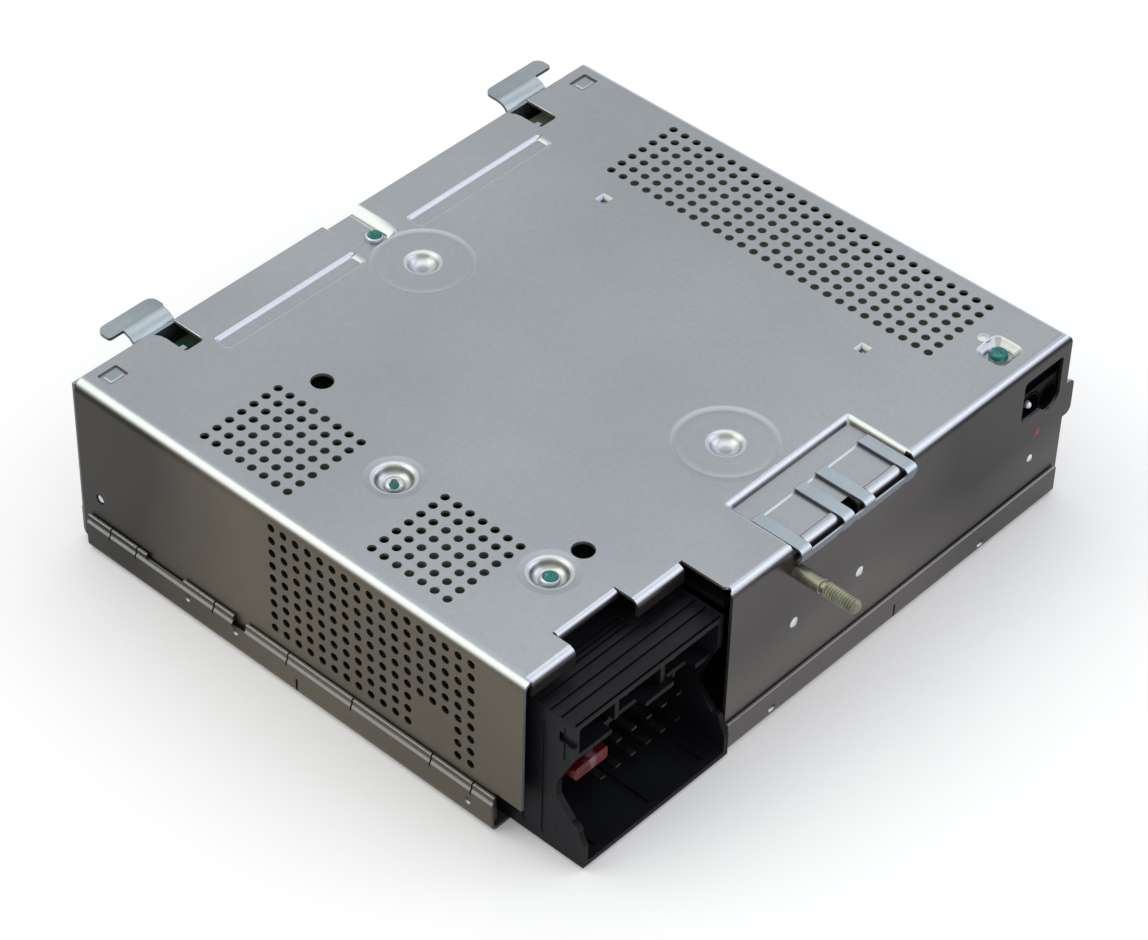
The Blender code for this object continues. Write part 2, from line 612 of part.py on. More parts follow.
def cover_shell(material):
    """Top and side walls as one folded channel, notched for the header, with its folded edges."""
    bm = bmesh.new()
    walls = [(HALF, COVER_WALL_BOTTOM_Z), (HALF, BOX_HEIGHT), (-HALF, BOX_HEIGHT), (-HALF, COVER_WALL_BOTTOM_Z)]
    bend_line = BOX_REAR_Y + BEND_RADIUS
    add_prism(bm, bent_sheet(walls, SHEET, [BEND_RADIUS] * 2), "y", bend_line, BOX_FRONT_Y)
    cover = make_object("top_cover", bm, material)
    under = COVER_WALL_BOTTOM_Z - OVERRUN
    above = BOX_HEIGHT + OVERRUN
    bm = bmesh.new()
    add_box(bm, (-HALF - OVERRUN, BOX_REAR_Y, under), (FLANGE_LEFT_X, LEFT_WALL_END_Y, above))
    cut(cover, bm)
    bm = bmesh.new()
    add_box(bm, (-HALF + CORNER_STRIP, BOX_REAR_Y, 0), (FLANGE_LEFT_X, LIP_Y + LIP_RADIUS, above))
    cut(cover, bm)
    bm = bmesh.new()
    add_box(bm, (STEP_X[0], BOX_REAR_Y, 0), (STEP_X[1], STEP_Y + STEP_RADIUS, above))
    cut(cover, bm)
    bm = bmesh.new()
    add_box(bm, (-HALF - OVERRUN, BOX_REAR_Y, under), (-HALF + CORNER_STRIP, LEFT_WALL_FOOT_Y, LEFT_WALL_FOOT_Z))
    cut(cover, bm)
    for x_range in (LIP_A_X, LIP_B_X):
        join(cover, rear_fold(x_range, LIP_Y, BOX_HEIGHT, BOX_HEIGHT - LIP_DROP, LIP_RADIUS, LIP_ROOT))
    join(cover, rear_fold(STEP_X, STEP_Y, BOX_HEIGHT, BOX_HEIGHT - STEP_DROP, STEP_RADIUS, LIP_ROOT))
    return cover


def add_rear_flange(cover):
    """Flange down the back, a corner strip that closes the right wall, and the ear past the corner."""
    right_x = HALF - BEND_RADIUS
    flange_x = (FLANGE_LEFT_X, right_x)
    join(cover, rear_fold(flange_x, BOX_REAR_Y, BOX_HEIGHT, COVER_WALL_BOTTOM_Z, BEND_RADIUS, LIP_ROOT))
    bm = bmesh.new()
    top = BOX_HEIGHT - BEND_RADIUS
    add_box(bm, (right_x - OVERRUN, BOX_REAR_Y, COVER_WALL_BOTTOM_Z), (HALF, BOX_REAR_Y + SHEET, top))
    add_box(bm, (HALF - SHEET, BOX_REAR_Y + SHEET + CORNER_SLIT, COVER_WALL_BOTTOM_Z),
            (HALF, BOX_REAR_Y + BEND_RADIUS + OVERRUN, top))
    join(cover, bm)
    bm = bmesh.new()
    add_box(bm, (HALF - EAR_ROOT, BOX_REAR_Y, EAR_Z[0]), (HALF + EAR_REACH, BOX_REAR_Y + SHEET, EAR_Z[1]))
    join(cover, bm)


def pressed_bowls():
    """Places, mouth and floor radii and depths of the round pressings in the top."""
    bowls = []
    for place in (SCREW_LEFT_FRONT, SCREW_LEFT_REAR):
        bowls.append((place, DIMPLE_RADIUS, DIMPLE_FLOOR_RADIUS, DIMPLE_DEPTH))
    for place in DISHES:
        bowls.append((place, DISH_RADIUS, DISH_FLOOR_RADIUS, DIMPLE_DEPTH))
    return bowls


def front_pocket_outline(grow, top_z, floor_z):
    """Pocket round the front screw, seen along Y, with a sloping right side."""
    return [
        (FRONT_POCKET_X[0] - grow, floor_z),
        (FRONT_POCKET_X[1] + grow, floor_z),
        (FRONT_POCKET_X[1] + FRONT_POCKET_SLOPE + grow, top_z),
        (FRONT_POCKET_X[0] - grow, top_z),
    ]


def clip_pocket_outline(thickness):
    """Pocket for the spring clip, seen along X: its floor and the lowered rear bend."""
    floor_z = BOX_HEIGHT - POCKET_DEPTH - thickness
    centre = (BOX_REAR_Y + BEND_RADIUS, BOX_HEIGHT - POCKET_DEPTH - BEND_RADIUS)
    bend = arc(centre, BEND_RADIUS - thickness, 90, 180, BEND_STEPS)
    return [(CLIP_POCKET_Y + thickness, floor_z)] + bend


def press_pockets(cover):
    """Thicken the sheet below every pressing, then sink the pressing into it."""
    under = BOX_HEIGHT - SHEET / 2
    bm = bmesh.new()
    for place, mouth, floor, depth in pressed_bowls():
        foot = BOX_HEIGHT - depth - SHEET
        add_lathe(bm, [(floor + SHEET, foot), (mouth + SHEET, under)], place, "z", 16)
    pocket_z = BOX_HEIGHT - POCKET_DEPTH
    outline = front_pocket_outline(SHEET, under, pocket_z - SHEET)
    add_prism(bm, outline, "y", FRONT_POCKET_Y - SHEET, BOX_FRONT_Y)
    add_box(bm, (REAR_POCKET_X[0] - SHEET, REAR_POCKET_Y[0] - SHEET, pocket_z - SHEET),
            (REAR_POCKET_X[1] + SHEET, REAR_POCKET_Y[1] + SHEET, under))
    for x_range in (GROOVE_LEFT_X, GROOVE_RIGHT_X):
        add_box(bm, (x_range[0] - SHEET, GROOVE_Y[0] - SHEET, BOX_HEIGHT - GROOVE_DEPTH - SHEET),
                (x_range[1] + SHEET, GROOVE_Y[1] + SHEET, under))
    join(cover, bm)
    bm = bmesh.new()
    skin = clip_pocket_outline(SHEET)
    foot = skin[-1][1]
    outline = skin + [(BOX_REAR_Y, foot), (BOX_REAR_Y, BOX_HEIGHT), (CLIP_POCKET_Y + SHEET, BOX_HEIGHT)]
    add_prism(bm, outline, "x", CLIP_POCKET_X[0] - SHEET, CLIP_POCKET_X[1] + SHEET)
    join(cover, bm)

    above = BOX_HEIGHT + OVERRUN
    bm = bmesh.new()
    for place, mouth, floor, depth in pressed_bowls():
        slope = (mouth - floor) / depth
        profile = [(floor, BOX_HEIGHT - depth), (mouth + slope * OVERRUN, above)]
        add_lathe(bm, profile, place, "z", 16)
    outline = front_pocket_outline(0, above, pocket_z)
    add_prism(bm, outline, "y", FRONT_POCKET_Y, BOX_FRONT_Y + OVERRUN)
    add_box(bm, (REAR_POCKET_X[0], REAR_POCKET_Y[0], pocket_z), (REAR_POCKET_X[1], REAR_POCKET_Y[1], above))
    for x_range in (GROOVE_LEFT_X, GROOVE_RIGHT_X):
        add_box(bm, (x_range[0], GROOVE_Y[0], BOX_HEIGHT - GROOVE_DEPTH), (x_range[1], GROOVE_Y[1], above))
    outline = clip_pocket_outline(0)
    foot = outline[-1][1]
    outline += [(BOX_REAR_Y - OVERRUN, foot), (BOX_REAR_Y - OVERRUN, above), (CLIP_POCKET_Y, above)]
    add_prism(bm, outline, "x", CLIP_POCKET_X[0], CLIP_POCKET_X[1])
    cut(cover, bm)


def add_vents(bm):
    """Square holes of the three top fields and the side field."""
    half = VENT_HOLE / 2
    low_z = BOX_HEIGHT - SHEET - OVERRUN
    left_x = from_left(VENT_LEFT_INSET)[0]
    fields = (
        (from_right(VENT_RIGHT_INSETS[0])[0], from_front(VENT_RIGHT_INSETS[1])[0], VENT_RIGHT_COUNTS),
        (left_x, from_front(VENT_LEFT_FRONT_INSET)[0], VENT_LEFT_FRONT_COUNTS),
        (left_x, from_rear(VENT_LEFT_REAR_INSET)[0], VENT_LEFT_REAR_COUNTS),
    )
    for start_x, start_y, counts in fields:
        for column in range(counts[0]):
            for row in range(counts[1]):
                x = start_x + column * VENT_PITCH
                y = start_y - row * VENT_PITCH
                add_box(bm, (x - half, y - half, low_z), (x + half, y + half, BOX_HEIGHT + OVERRUN))
    for column in range(VENT_SIDE_COUNTS[0]):
        for row in range(VENT_SIDE_COUNTS[1]):
            if column in VENT_SIDE_BLANK_COLUMN_NUMBERS and row in VENT_SIDE_BLANK_ROW_NUMBERS:
                continue
            y = from_rear(VENT_SIDE_REAR_INSET)[0] - column * VENT_PITCH
            z = BOX_HEIGHT - VENT_SIDE_DROP - row * VENT_PITCH
            add_box(bm, (-HALF - OVERRUN, y - half, z - half), (-HALF + SHEET + OVERRUN, y + half, z + half))


def pierce_cover(cover):
    """Every hole that goes right through the cover."""
    above = BOX_HEIGHT + OVERRUN
    under = BOX_HEIGHT - DIMPLE_DEPTH - SHEET - OVERRUN
    bm = bmesh.new()
    add_vents(bm)
    locating_x = from_left(LOCATING_HOLE_LEFT_INSET)[0]
    for y in (*from_front(LOCATING_HOLE_FRONT_INSET), *from_rear(LOCATING_HOLE_REAR_INSET)):
        add_prism(bm, circle((locating_x, y), LOCATING_HOLE_RADIUS, 12), "z", under, above)
    for place in (SCREW_LEFT_FRONT, SCREW_LEFT_REAR, SCREW_FRONT, SCREW_REAR):
        add_prism(bm, circle(place, SCREW_HOLE_RADIUS, 8), "z", under, above)
    for x_range in (HOOK_SLOT_LEFT_X, HOOK_SLOT_RIGHT_X):
        add_box(bm, (x_range[0], HOOK_SLOT_Y, under), (x_range[1], BOX_FRONT_Y + OVERRUN, above))
    for x0, x1, y0, y1 in (TAB_WINDOW_LEFT, TAB_WINDOW_RIGHT):
        add_box(bm, (x0, y0, under), (x1, y1, above))
    side_hole = (from_front(SIDE_HOLE_FRONT_INSET)[0], SIDE_HOLE_Z)
    add_prism(bm, circle(side_hole, SIDE_HOLE_RADIUS, 8), "x", -HALF - OVERRUN, -HALF + SHEET + OVERRUN)
    outside = BOX_REAR_Y - OVERRUN
    inside = BOX_REAR_Y + SHEET + OVERRUN
    for place in FLANGE_HOLES:
        add_prism(bm, circle(place, SIDE_HOLE_RADIUS, 8), "y", outside, inside)
    add_prism(bm, circle((STUD_X, STUD_Z), STUD_RADIUS + SEAT_GAP, 12), "y", outside, inside)
    add_box(bm, (CLIP_WINDOW_X[0], outside, BOX_HEIGHT - CLIP_WINDOW_FOOT), (CLIP_WINDOW_X[1], CLIP_WINDOW_Y, above))
    cut(cover, bm)
    bm = bmesh.new()
    lobe = arc((AERIAL_BORES[1][0], AERIAL_BORES[1][1]), AERIAL_LOBE_RADIUS, 205, 350, 8)
    outline = [(AERIAL_OPENING_X[0], AERIAL_OPENING_Z[0])] + lobe
    outline += [(AERIAL_OPENING_X[1], AERIAL_OPENING_Z[1]), (AERIAL_OPENING_X[0], AERIAL_OPENING_Z[1])]
    add_prism(bm, outline, "y", outside, inside)
    cut(cover, bm)


def make_top_cover(material):
    cover = cover_shell(material)
    add_rear_flange(cover)
    press_pockets(cover)
    pierce_cover(cover)
    return cover


# Tray

def make_bottom_tray(material):
    """Floor with stepped side lips and plain end lips, open at the header's corner."""
    outer = TRAY_WALL_X
    lip = TRAY_LIP_X
    path = [
        (-lip, TRAY_SIDE_TOP_Z), (-lip, TRAY_SHOULDER_TOP_Z), (-outer, TRAY_SHOULDER_Z), (-outer, 0),
        (outer, 0), (outer, TRAY_SHOULDER_Z), (lip, TRAY_SHOULDER_TOP_Z), (lip, TRAY_SIDE_TOP_Z),
    ]
    half_radii = [TRAY_SHOULDER_RADIUS, TRAY_SHOULDER_RADIUS, TRAY_BEND_RADIUS]
    bm = bmesh.new()
    outline = bent_sheet(path, SHEET, half_radii + half_radii[::-1])
    add_prism(bm, outline, "y", TRAY_SIDE_REAR_Y, TRAY_SIDE_FRONT_Y)
    tray = make_object("bottom_tray", bm, material)
    inset = HALF - TRAY_END_INSET
    rear = [(TRAY_REAR_Y, TRAY_END_LIP_TOP_Z), (TRAY_REAR_Y, 0), (TRAY_SIDE_REAR_Y + TRAY_END_ROOT, 0)]
    front = [(TRAY_SIDE_FRONT_Y - TRAY_END_ROOT, 0), (TRAY_FRONT_Y, 0), (TRAY_FRONT_Y, TRAY_END_LIP_TOP_Z)]
    bm = bmesh.new()
    add_prism(bm, bent_sheet(rear, SHEET, [TRAY_BEND_RADIUS]), "x", FLANGE_LEFT_X, inset)
    add_prism(bm, bent_sheet(front, SHEET, [TRAY_BEND_RADIUS]), "x", -inset, inset)
    join(tray, bm)
    pierce_tray(tray)
    return tray


def pierce_tray(tray):
    """Header corner, the slits between the lip's fingers, its low stretch, and the post holes."""
    outer = TRAY_WALL_X + OVERRUN
    inner = HALF - OVERRUN
    slot = FINGER_SLIT / 2
    top = TRAY_SIDE_TOP_Z + OVERRUN
    bm = bmesh.new()
    add_box(bm, (-outer, TRAY_REAR_Y - OVERRUN, -OVERRUN), (FLANGE_LEFT_X, TRAY_CORNER_Y, top))
    for side in (-1, 1):
        low_x, high_x = sorted((side * outer, side * inner))
        for y in from_front(*FINGER_SLIT_FRONT_INSETS):
            add_box(bm, (low_x, y - slot, FINGER_SLIT_Z), (high_x, y + slot, top))
        add_box(bm, (low_x, LOW_LIP_Y[0], TRAY_SHOULDER_TOP_Z), (high_x, LOW_LIP_Y[1], top))
    slot_y = from_front(TRAY_SLOT_LEFT_FRONT_INSET)[0]
    add_box(bm, (-outer, slot_y - slot, -OVERRUN), (-inner, slot_y + slot, TRAY_SLOT_Z))
    add_box(bm, (TRAY_SLOT_REAR_X - slot, TRAY_REAR_Y - OVERRUN, -OVERRUN),
            (TRAY_SLOT_REAR_X + slot, TRAY_REAR_Y + TRAY_BEND_RADIUS, TRAY_SLOT_Z))
    for place in (SCREW_LEFT_FRONT, SCREW_LEFT_REAR, SCREW_FRONT):
        add_prism(bm, circle(place, POST_STUB_RADIUS + SEAT_GAP, 8), "z", -OVERRUN, SHEET + OVERRUN)
    cut(tray, bm)


# Hook frame

def tongue_outline(x_range):
    """A hook's flat tongue from above, with its outer corners rounded."""
    left, right = x_range
    root = BOX_FRONT_Y + HOOK_TONGUE_REACH
    corner = BOX_FRONT_Y + HOOK_TIP_REACH - HOOK_CORNER
    round_left = arc((left + HOOK_CORNER, corner), HOOK_CORNER, 180, 90, 4)
    round_right = arc((right - HOOK_CORNER, corner), HOOK_CORNER, 90, 0, 4)
    return [(left, root)] + round_left + round_right + [(right, root)]


def make_front_frame(material):
    """Front wall with two hooks that rise past the cover, inner tabs and side flanges."""
    face = FRAME_Y
    back = face - FRAME_SHEET
    bm = bmesh.new()
    side = HALF - FRAME_INSET
    add_box(bm, (-side, back, COVER_WALL_BOTTOM_Z), (side, face, BOX_HEIGHT - FRAME_TOP_DROP))
    frame = make_object("front_frame", bm, material)
    bm = bmesh.new()
    under = BOX_HEIGHT - HOOK_UNDER_DROP
    path = [(face, BOX_HEIGHT - HOOK_ROOT_DROP), (face, under), (BOX_FRONT_Y + HOOK_TONGUE_REACH + SHEET, under)]
    for x_range in (from_left(*HOOK_LEFT_WEB_INSETS), from_right(*HOOK_RIGHT_WEB_INSETS)):
        add_prism(bm, bent_sheet(path, FRAME_SHEET, [HOOK_RADIUS]), "x", x_range[0], x_range[1])
    join(frame, bm)
    bm = bmesh.new()
    for x_range in (from_left(*HOOK_LEFT_TONGUE_INSETS), from_right(*HOOK_RIGHT_TONGUE_INSETS)):
        add_prism(bm, tongue_outline(x_range), "z", under, under + FRAME_SHEET)
    join(frame, bm)
    join(frame, frame_tabs(face))
    return frame


def frame_tabs(face):
    """Tabs folded in under the cover, and flanges along its side walls."""
    bm = bmesh.new()
    under_cover = BOX_HEIGHT - SHEET - SEAT_GAP
    under_pocket = under_cover - POCKET_DEPTH
    start = under_cover - BEND_RADIUS - OVERRUN
    for x_range in (from_left(*FRAME_TAB_LEFT_INSETS), from_right(*FRAME_TAB_RIGHT_INSETS)):
        path = [(face, start), (face, under_cover), (face - FRAME_TAB_DEPTH, under_cover)]
        add_prism(bm, bent_sheet(path, FRAME_SHEET, [BEND_RADIUS]), "x", x_range[0], x_range[1])
    path = [(face, start - POCKET_DEPTH), (face, under_pocket), (face - FRAME_MIDDLE_TAB_DEPTH, under_pocket)]
    middle_x = (SCREW_FRONT_X - FRAME_MIDDLE_TAB_REACH[0], SCREW_FRONT_X + FRAME_MIDDLE_TAB_REACH[1])
    add_prism(bm, bent_sheet(path, FRAME_SHEET, [BEND_RADIUS]), "x", middle_x[0], middle_x[1])
    inner_wall = HALF - SHEET - SEAT_GAP
    for side in (-1, 1):
        low_x, high_x = sorted((side * inner_wall, side * (inner_wall - FRAME_SHEET)))
        top = BOX_HEIGHT - FRAME_SIDE_TOP_DROP
        add_box(bm, (low_x, face - FRAME_SIDE_DEPTH, FRAME_SIDE_BOTTOM_Z), (high_x, face - FRAME_SHEET / 2, top))
    return bm


def trim_front_frame(frame):
    """Holes for the front screw, and the cover's lowered pocket through the wall's top."""
    bm = bmesh.new()
    low = BOX_HEIGHT - SHEET - POCKET_DEPTH - FRAME_SHEET - OVERRUN
    add_prism(bm, circle(SCREW_FRONT, SCREW_HOLE_RADIUS, 8), "z", low, BOX_HEIGHT)
    cut(frame, bm)
    bm = bmesh.new()
    corner = BOX_HEIGHT - POCKET_DEPTH - SHEET - SEAT_GAP
    sides = (FRONT_POCKET_X[0] - SHEET - SEAT_GAP, FRONT_POCKET_X[1] + FRONT_POCKET_SLOPE + SHEET + SEAT_GAP)
    add_box(bm, (sides[0], FRAME_Y - FRAME_SHEET - OVERRUN, corner), (sides[1], FRAME_Y + OVERRUN, BOX_HEIGHT))
    cut(frame, bm)


# Main board

def make_main_board(material):
    """Board outline stepped round the header and the aerial socket, with its screw holes."""
    notch_x = HEADER_X[1] + BOARD_NOTCH_GAP
    notch_y = from_rear(BOARD_NOTCH_REAR_INSET)[0]
    aerial_x = SCREW_REAR[0] - AERIAL_BOSS_RADIUS - BOARD_AERIAL_GAPS[0]
    aerial_y = AERIAL_BACK_Y + BOARD_AERIAL_GAPS[1]
    outline = [
        (-BOARD_X, notch_y), (notch_x, notch_y), (notch_x, BOARD_REAR_Y), (aerial_x, BOARD_REAR_Y),
        (aerial_x, aerial_y), (BOARD_X, aerial_y), (BOARD_X, BOARD_FRONT_Y), (-BOARD_X, BOARD_FRONT_Y),
    ]
    bm = bmesh.new()
    add_prism(bm, outline, "z", BOARD_Z, BOARD_TOP_Z)
    board = make_object("main_board", bm, material)
    bm = bmesh.new()
    for place in (SCREW_LEFT_FRONT, SCREW_LEFT_REAR, SCREW_FRONT):
        add_prism(bm, circle(place, SCREW_HOLE_RADIUS, 8), "z", BOARD_Z - OVERRUN, BOARD_TOP_Z + OVERRUN)
    cut(board, bm)
    return board


# Plug header

def side_wall_outline():
    """Header side wall seen along X: cut back for the plug's lever, with a rounded nose."""
    top = UNDER_BOARD_Z
    recess_y = from_rear(SIDE_RECESS_REAR_INSET)[0]
    start, high, low = (HEADER_BOTTOM_Z + HEADER_HEIGHT * share for share in SIDE_RECESS_SHARES)
    nose_z = HEADER_BOTTOM_Z + HEADER_HEIGHT * NOSE_SHARE
    nose = arc((HEADER_FOOT_Y + NOSE_SETBACK + NOSE_RADIUS, nose_z), NOSE_RADIUS, 100, 200, 4)
    return [
        (HEADER_BACK_Y, HEADER_BOTTOM_Z), (HEADER_BACK_Y, top), (HEADER_TOP_Y, top), (HEADER_TOP_Y, start),
        (recess_y, high), (recess_y, low),
    ] + nose + [(HEADER_FOOT_Y, nose_z - NOSE_RADIUS * 3), (HEADER_FOOT_Y, HEADER_BOTTOM_Z)]


def top_wall_outline():
    """Header top wall seen along X, with ribs across it near the mouth."""
    top = UNDER_BOARD_Z
    low = top - HEADER_RIB
    points = [(HEADER_BACK_Y, top - HEADER_WALL), (HEADER_BACK_Y, top)]
    for setback in HEADER_RIB_SETBACKS:
        y = HEADER_TOP_Y + setback
        points += [(y + HEADER_RIB_WIDTH, top), (y + HEADER_RIB_WIDTH, low), (y, low), (y, top)]
    points += [(HEADER_TOP_Y + HEADER_NOSE_WIDTH, top), (HEADER_TOP_Y, low), (HEADER_TOP_Y, top - HEADER_WALL)]
    return points


def shelf_outline():
    """Shelf between the upper and lower chambers, from above, with its two cut-backs."""
    inner_left = HEADER_X[0] + HEADER_WALL / 2
    inner_right = HEADER_X[1] - HEADER_WALL / 2
    points = [(inner_left, HEADER_BACK_Y), (inner_left, SHELF_FRONT_Y)]
    for left_share, right_share in SHELF_NOTCH_SHARES:
        left = HEADER_X[0] + HEADER_WIDTH * left_share
        right = HEADER_X[0] + HEADER_WIDTH * right_share
        deep = SHELF_FRONT_Y + SHELF_NOTCH
        points += [(left, SHELF_FRONT_Y), (left, deep), (right, deep), (right, SHELF_FRONT_Y)]
    return points + [(inner_right, SHELF_FRONT_Y), (inner_right, HEADER_BACK_Y)]


def divider_places():
    return [HEADER_X[0] + HEADER_WIDTH * share for share in DIVIDER_SHARES]


def make_header(material):
    left, right = HEADER_X
    bm = bmesh.new()
    add_prism(bm, side_wall_outline(), "x", left, left + HEADER_WALL)
    header = make_object("connector_housing", bm, material)
    overlap = HEADER_WALL / 2
    bm = bmesh.new()
    add_prism(bm, top_wall_outline(), "x", left + overlap, right - overlap)
    floor_top = HEADER_BOTTOM_Z + HEADER_WALL
    add_box(bm, (left + overlap, HEADER_FOOT_Y, HEADER_BOTTOM_Z), (right - overlap, HEADER_BACK_Y, floor_top))
    add_prism(bm, shelf_outline(), "z", SHELF_Z, SHELF_Z + SHELF_THICK)
    join(header, bm)
    bm = bmesh.new()
    add_prism(bm, side_wall_outline(), "x", right - HEADER_WALL, right)
    join(header, bm)
    bm = bmesh.new()
    half = DIVIDER_THICK / 2
    low_z = SHELF_Z + SHELF_THICK / 2
    for x in divider_places():
        add_box(bm, (x - half, DIVIDER_FRONT_Y, low_z), (x + half, HEADER_BACK_Y, UNDER_BOARD_Z - HEADER_WALL / 2))
    join(header, bm)
    return header


def chamber_edges():
    """Left and right inner faces of the three upper chambers."""
    half = DIVIDER_THICK / 2
    first, second = divider_places()
    return [
        (HEADER_X[0] + HEADER_WALL, first - half),
        (first + half, second - half),
        (second + half, HEADER_X[1] - HEADER_WALL),
    ]


def make_power_contacts(material):
    """Insulator of the lower chamber with its blades, and the holder for the fuse."""
    low = (HEADER_X[0] + HEADER_WALL + SEAT_GAP, BLOCK_FRONT_Y, HEADER_BOTTOM_Z + HEADER_WALL + SEAT_GAP)
    high = (HEADER_X[1] - HEADER_WALL - SEAT_GAP, BLOCK_BACK_Y, SHELF_Z - SEAT_GAP)
    bm = bmesh.new()
    add_box(bm, low, high)
    block = make_object("power_contact_block", bm, material)
    rim = FUSE_HOLDER_RIM
    bm = bmesh.new()
    add_box(bm, (low[0], FUSE_BACK_Y + SEAT_GAP, FUSE_Z[0] - rim),
            (FUSE_X[1] + rim, BLOCK_FRONT_Y + OVERRUN, FUSE_Z[1] + rim))
    for height in BLADE_ROW_HEIGHTS:
        z = HEADER_BOTTOM_Z + height
        for i in range(BLADE_COUNT):
            x = HEADER_X[0] + BLADE_START_SETBACK + i * BLADE_PITCH
            add_box(bm, (x - BLADE_WIDTH / 2, BLOCK_FRONT_Y - BLADE_LENGTH, z - BLADE_THICK / 2),
                    (x + BLADE_WIDTH / 2, BLOCK_FRONT_Y + OVERRUN, z + BLADE_THICK / 2))
    join(block, bm)
    bm = bmesh.new()
    middle_z = (FUSE_Z[0] + FUSE_Z[1]) / 2
    half_slot = FUSE_BLADE_THICK / 2 + SEAT_GAP
    for left in fuse_blade_lefts():
        add_box(bm, (left - SEAT_GAP, FUSE_BACK_Y - OVERRUN, middle_z - half_slot),
                (left + FUSE_BLADE_WIDTH + SEAT_GAP, FUSE_BLADE_TIP_Y + SEAT_GAP, middle_z + half_slot))
    cut(block, bm)
    return block


def make_signal_contacts(material):
    """Comb of three insulators for the upper chambers on one back bar, with pins and board tails."""
    low_z = SHELF_Z + SHELF_THICK + SEAT_GAP
    high_z = UNDER_BOARD_Z - HEADER_WALL - SEAT_GAP
    edges = chamber_edges()
    back = HEADER_BACK_Y + SEAT_GAP
    bm = bmesh.new()
    add_box(bm, (edges[0][0], back, low_z), (edges[-1][1], back + HEADER_WALL, high_z))
    block = make_object("signal_contact_block", bm, material)
    bm = bmesh.new()
    for left, right in edges:
        add_box(bm, (left + SEAT_GAP, BLOCK_FRONT_Y, low_z), (right - SEAT_GAP, back + HEADER_WALL / 2, high_z))
    join(block, bm)
    bm = bmesh.new()
    for left, right in edges:
        middle = (left + right) / 2
        for height in PIN_ROW_HEIGHTS:
            z = SHELF_Z + height
            for i in range(PIN_COUNT):
                x = middle + (i - (PIN_COUNT - 1) / 2) * PIN_PITCH
                add_box(bm, (x - PIN_WIDTH / 2, BLOCK_FRONT_Y - PIN_LENGTH, z - PIN_WIDTH / 2),
                        (x + PIN_WIDTH / 2, BLOCK_FRONT_Y + OVERRUN, z + PIN_WIDTH / 2))
    tail_y = back + HEADER_WALL / 2
    for i in range(TAIL_COUNT):
        x = edges[0][0] + (edges[-1][1] - edges[0][0]) * (i + 1) / (TAIL_COUNT + 1)
        half = TAIL_WIDTH / 2
        add_box(bm, (x - half, tail_y - half, high_z - OVERRUN), (x + half, tail_y + half, UNDER_BOARD_Z))
    join(block, bm)
    return block


# Fuse

def fuse_blade_lefts():
    return FUSE_X[0] + FUSE_BLADE_EDGE, FUSE_X[1] - FUSE_BLADE_EDGE - FUSE_BLADE_WIDTH


def make_fuse_body(material):
    """Plastic grip of the fuse with bevelled edges and a slot for its metal."""
    middle_x = (FUSE_X[0] + FUSE_X[1]) / 2
    middle_z = (FUSE_Z[0] + FUSE_Z[1]) / 2
    half_x = (FUSE_X[1] - FUSE_X[0]) / 2
    half_z = (FUSE_Z[1] - FUSE_Z[0]) / 2
    bm = bmesh.new()
    add_box(bm, (middle_x - half_x, FUSE_FRONT_Y, middle_z - half_z),
            (middle_x + half_x, FUSE_BACK_Y, middle_z + half_z))
    front = [edge for edge in bm.edges if all(v.co.y < FUSE_FRONT_Y + FUSE_EDGE for v in edge.verts)]
    along = [edge for edge in bm.edges if abs(edge.verts[0].co.y - edge.verts[1].co.y) > FUSE_EDGE]
    bmesh.ops.bevel(bm, geom=front + along, offset=FUSE_EDGE, segments=1, affect="EDGES")
    body = make_object("fuse_body", bm, material)
    lefts = fuse_blade_lefts()
    bm = bmesh.new()
    half_slot = FUSE_BLADE_THICK / 2 + SEAT_GAP
    add_box(bm, (lefts[0] - SEAT_GAP, FUSE_BRIDGE_Y - SEAT_GAP, middle_z - half_slot),
            (lefts[1] + FUSE_BLADE_WIDTH + SEAT_GAP, FUSE_BACK_Y + OVERRUN, middle_z + half_slot))
    cut(body, bm)
    return body


def make_fuse_blades(material):
    """Two blades and the link between them, as one punched strip."""
    middle_z = (FUSE_Z[0] + FUSE_Z[1]) / 2
    left, right = fuse_blade_lefts()
    bridge = FUSE_BRIDGE_Y + FUSE_BRIDGE
    outline = [
        (left, FUSE_BRIDGE_Y), (right + FUSE_BLADE_WIDTH, FUSE_BRIDGE_Y), (right + FUSE_BLADE_WIDTH, FUSE_BLADE_TIP_Y),
        (right, FUSE_BLADE_TIP_Y), (right, bridge), (left + FUSE_BLADE_WIDTH, bridge),
        (left + FUSE_BLADE_WIDTH, FUSE_BLADE_TIP_Y), (left, FUSE_BLADE_TIP_Y),
    ]
    bm = bmesh.new()
    add_prism(bm, outline, "z", middle_z - FUSE_BLADE_THICK / 2, middle_z + FUSE_BLADE_THICK / 2)
    return make_object("fuse_blades", bm, material)


# Aerial socket, stud and clip

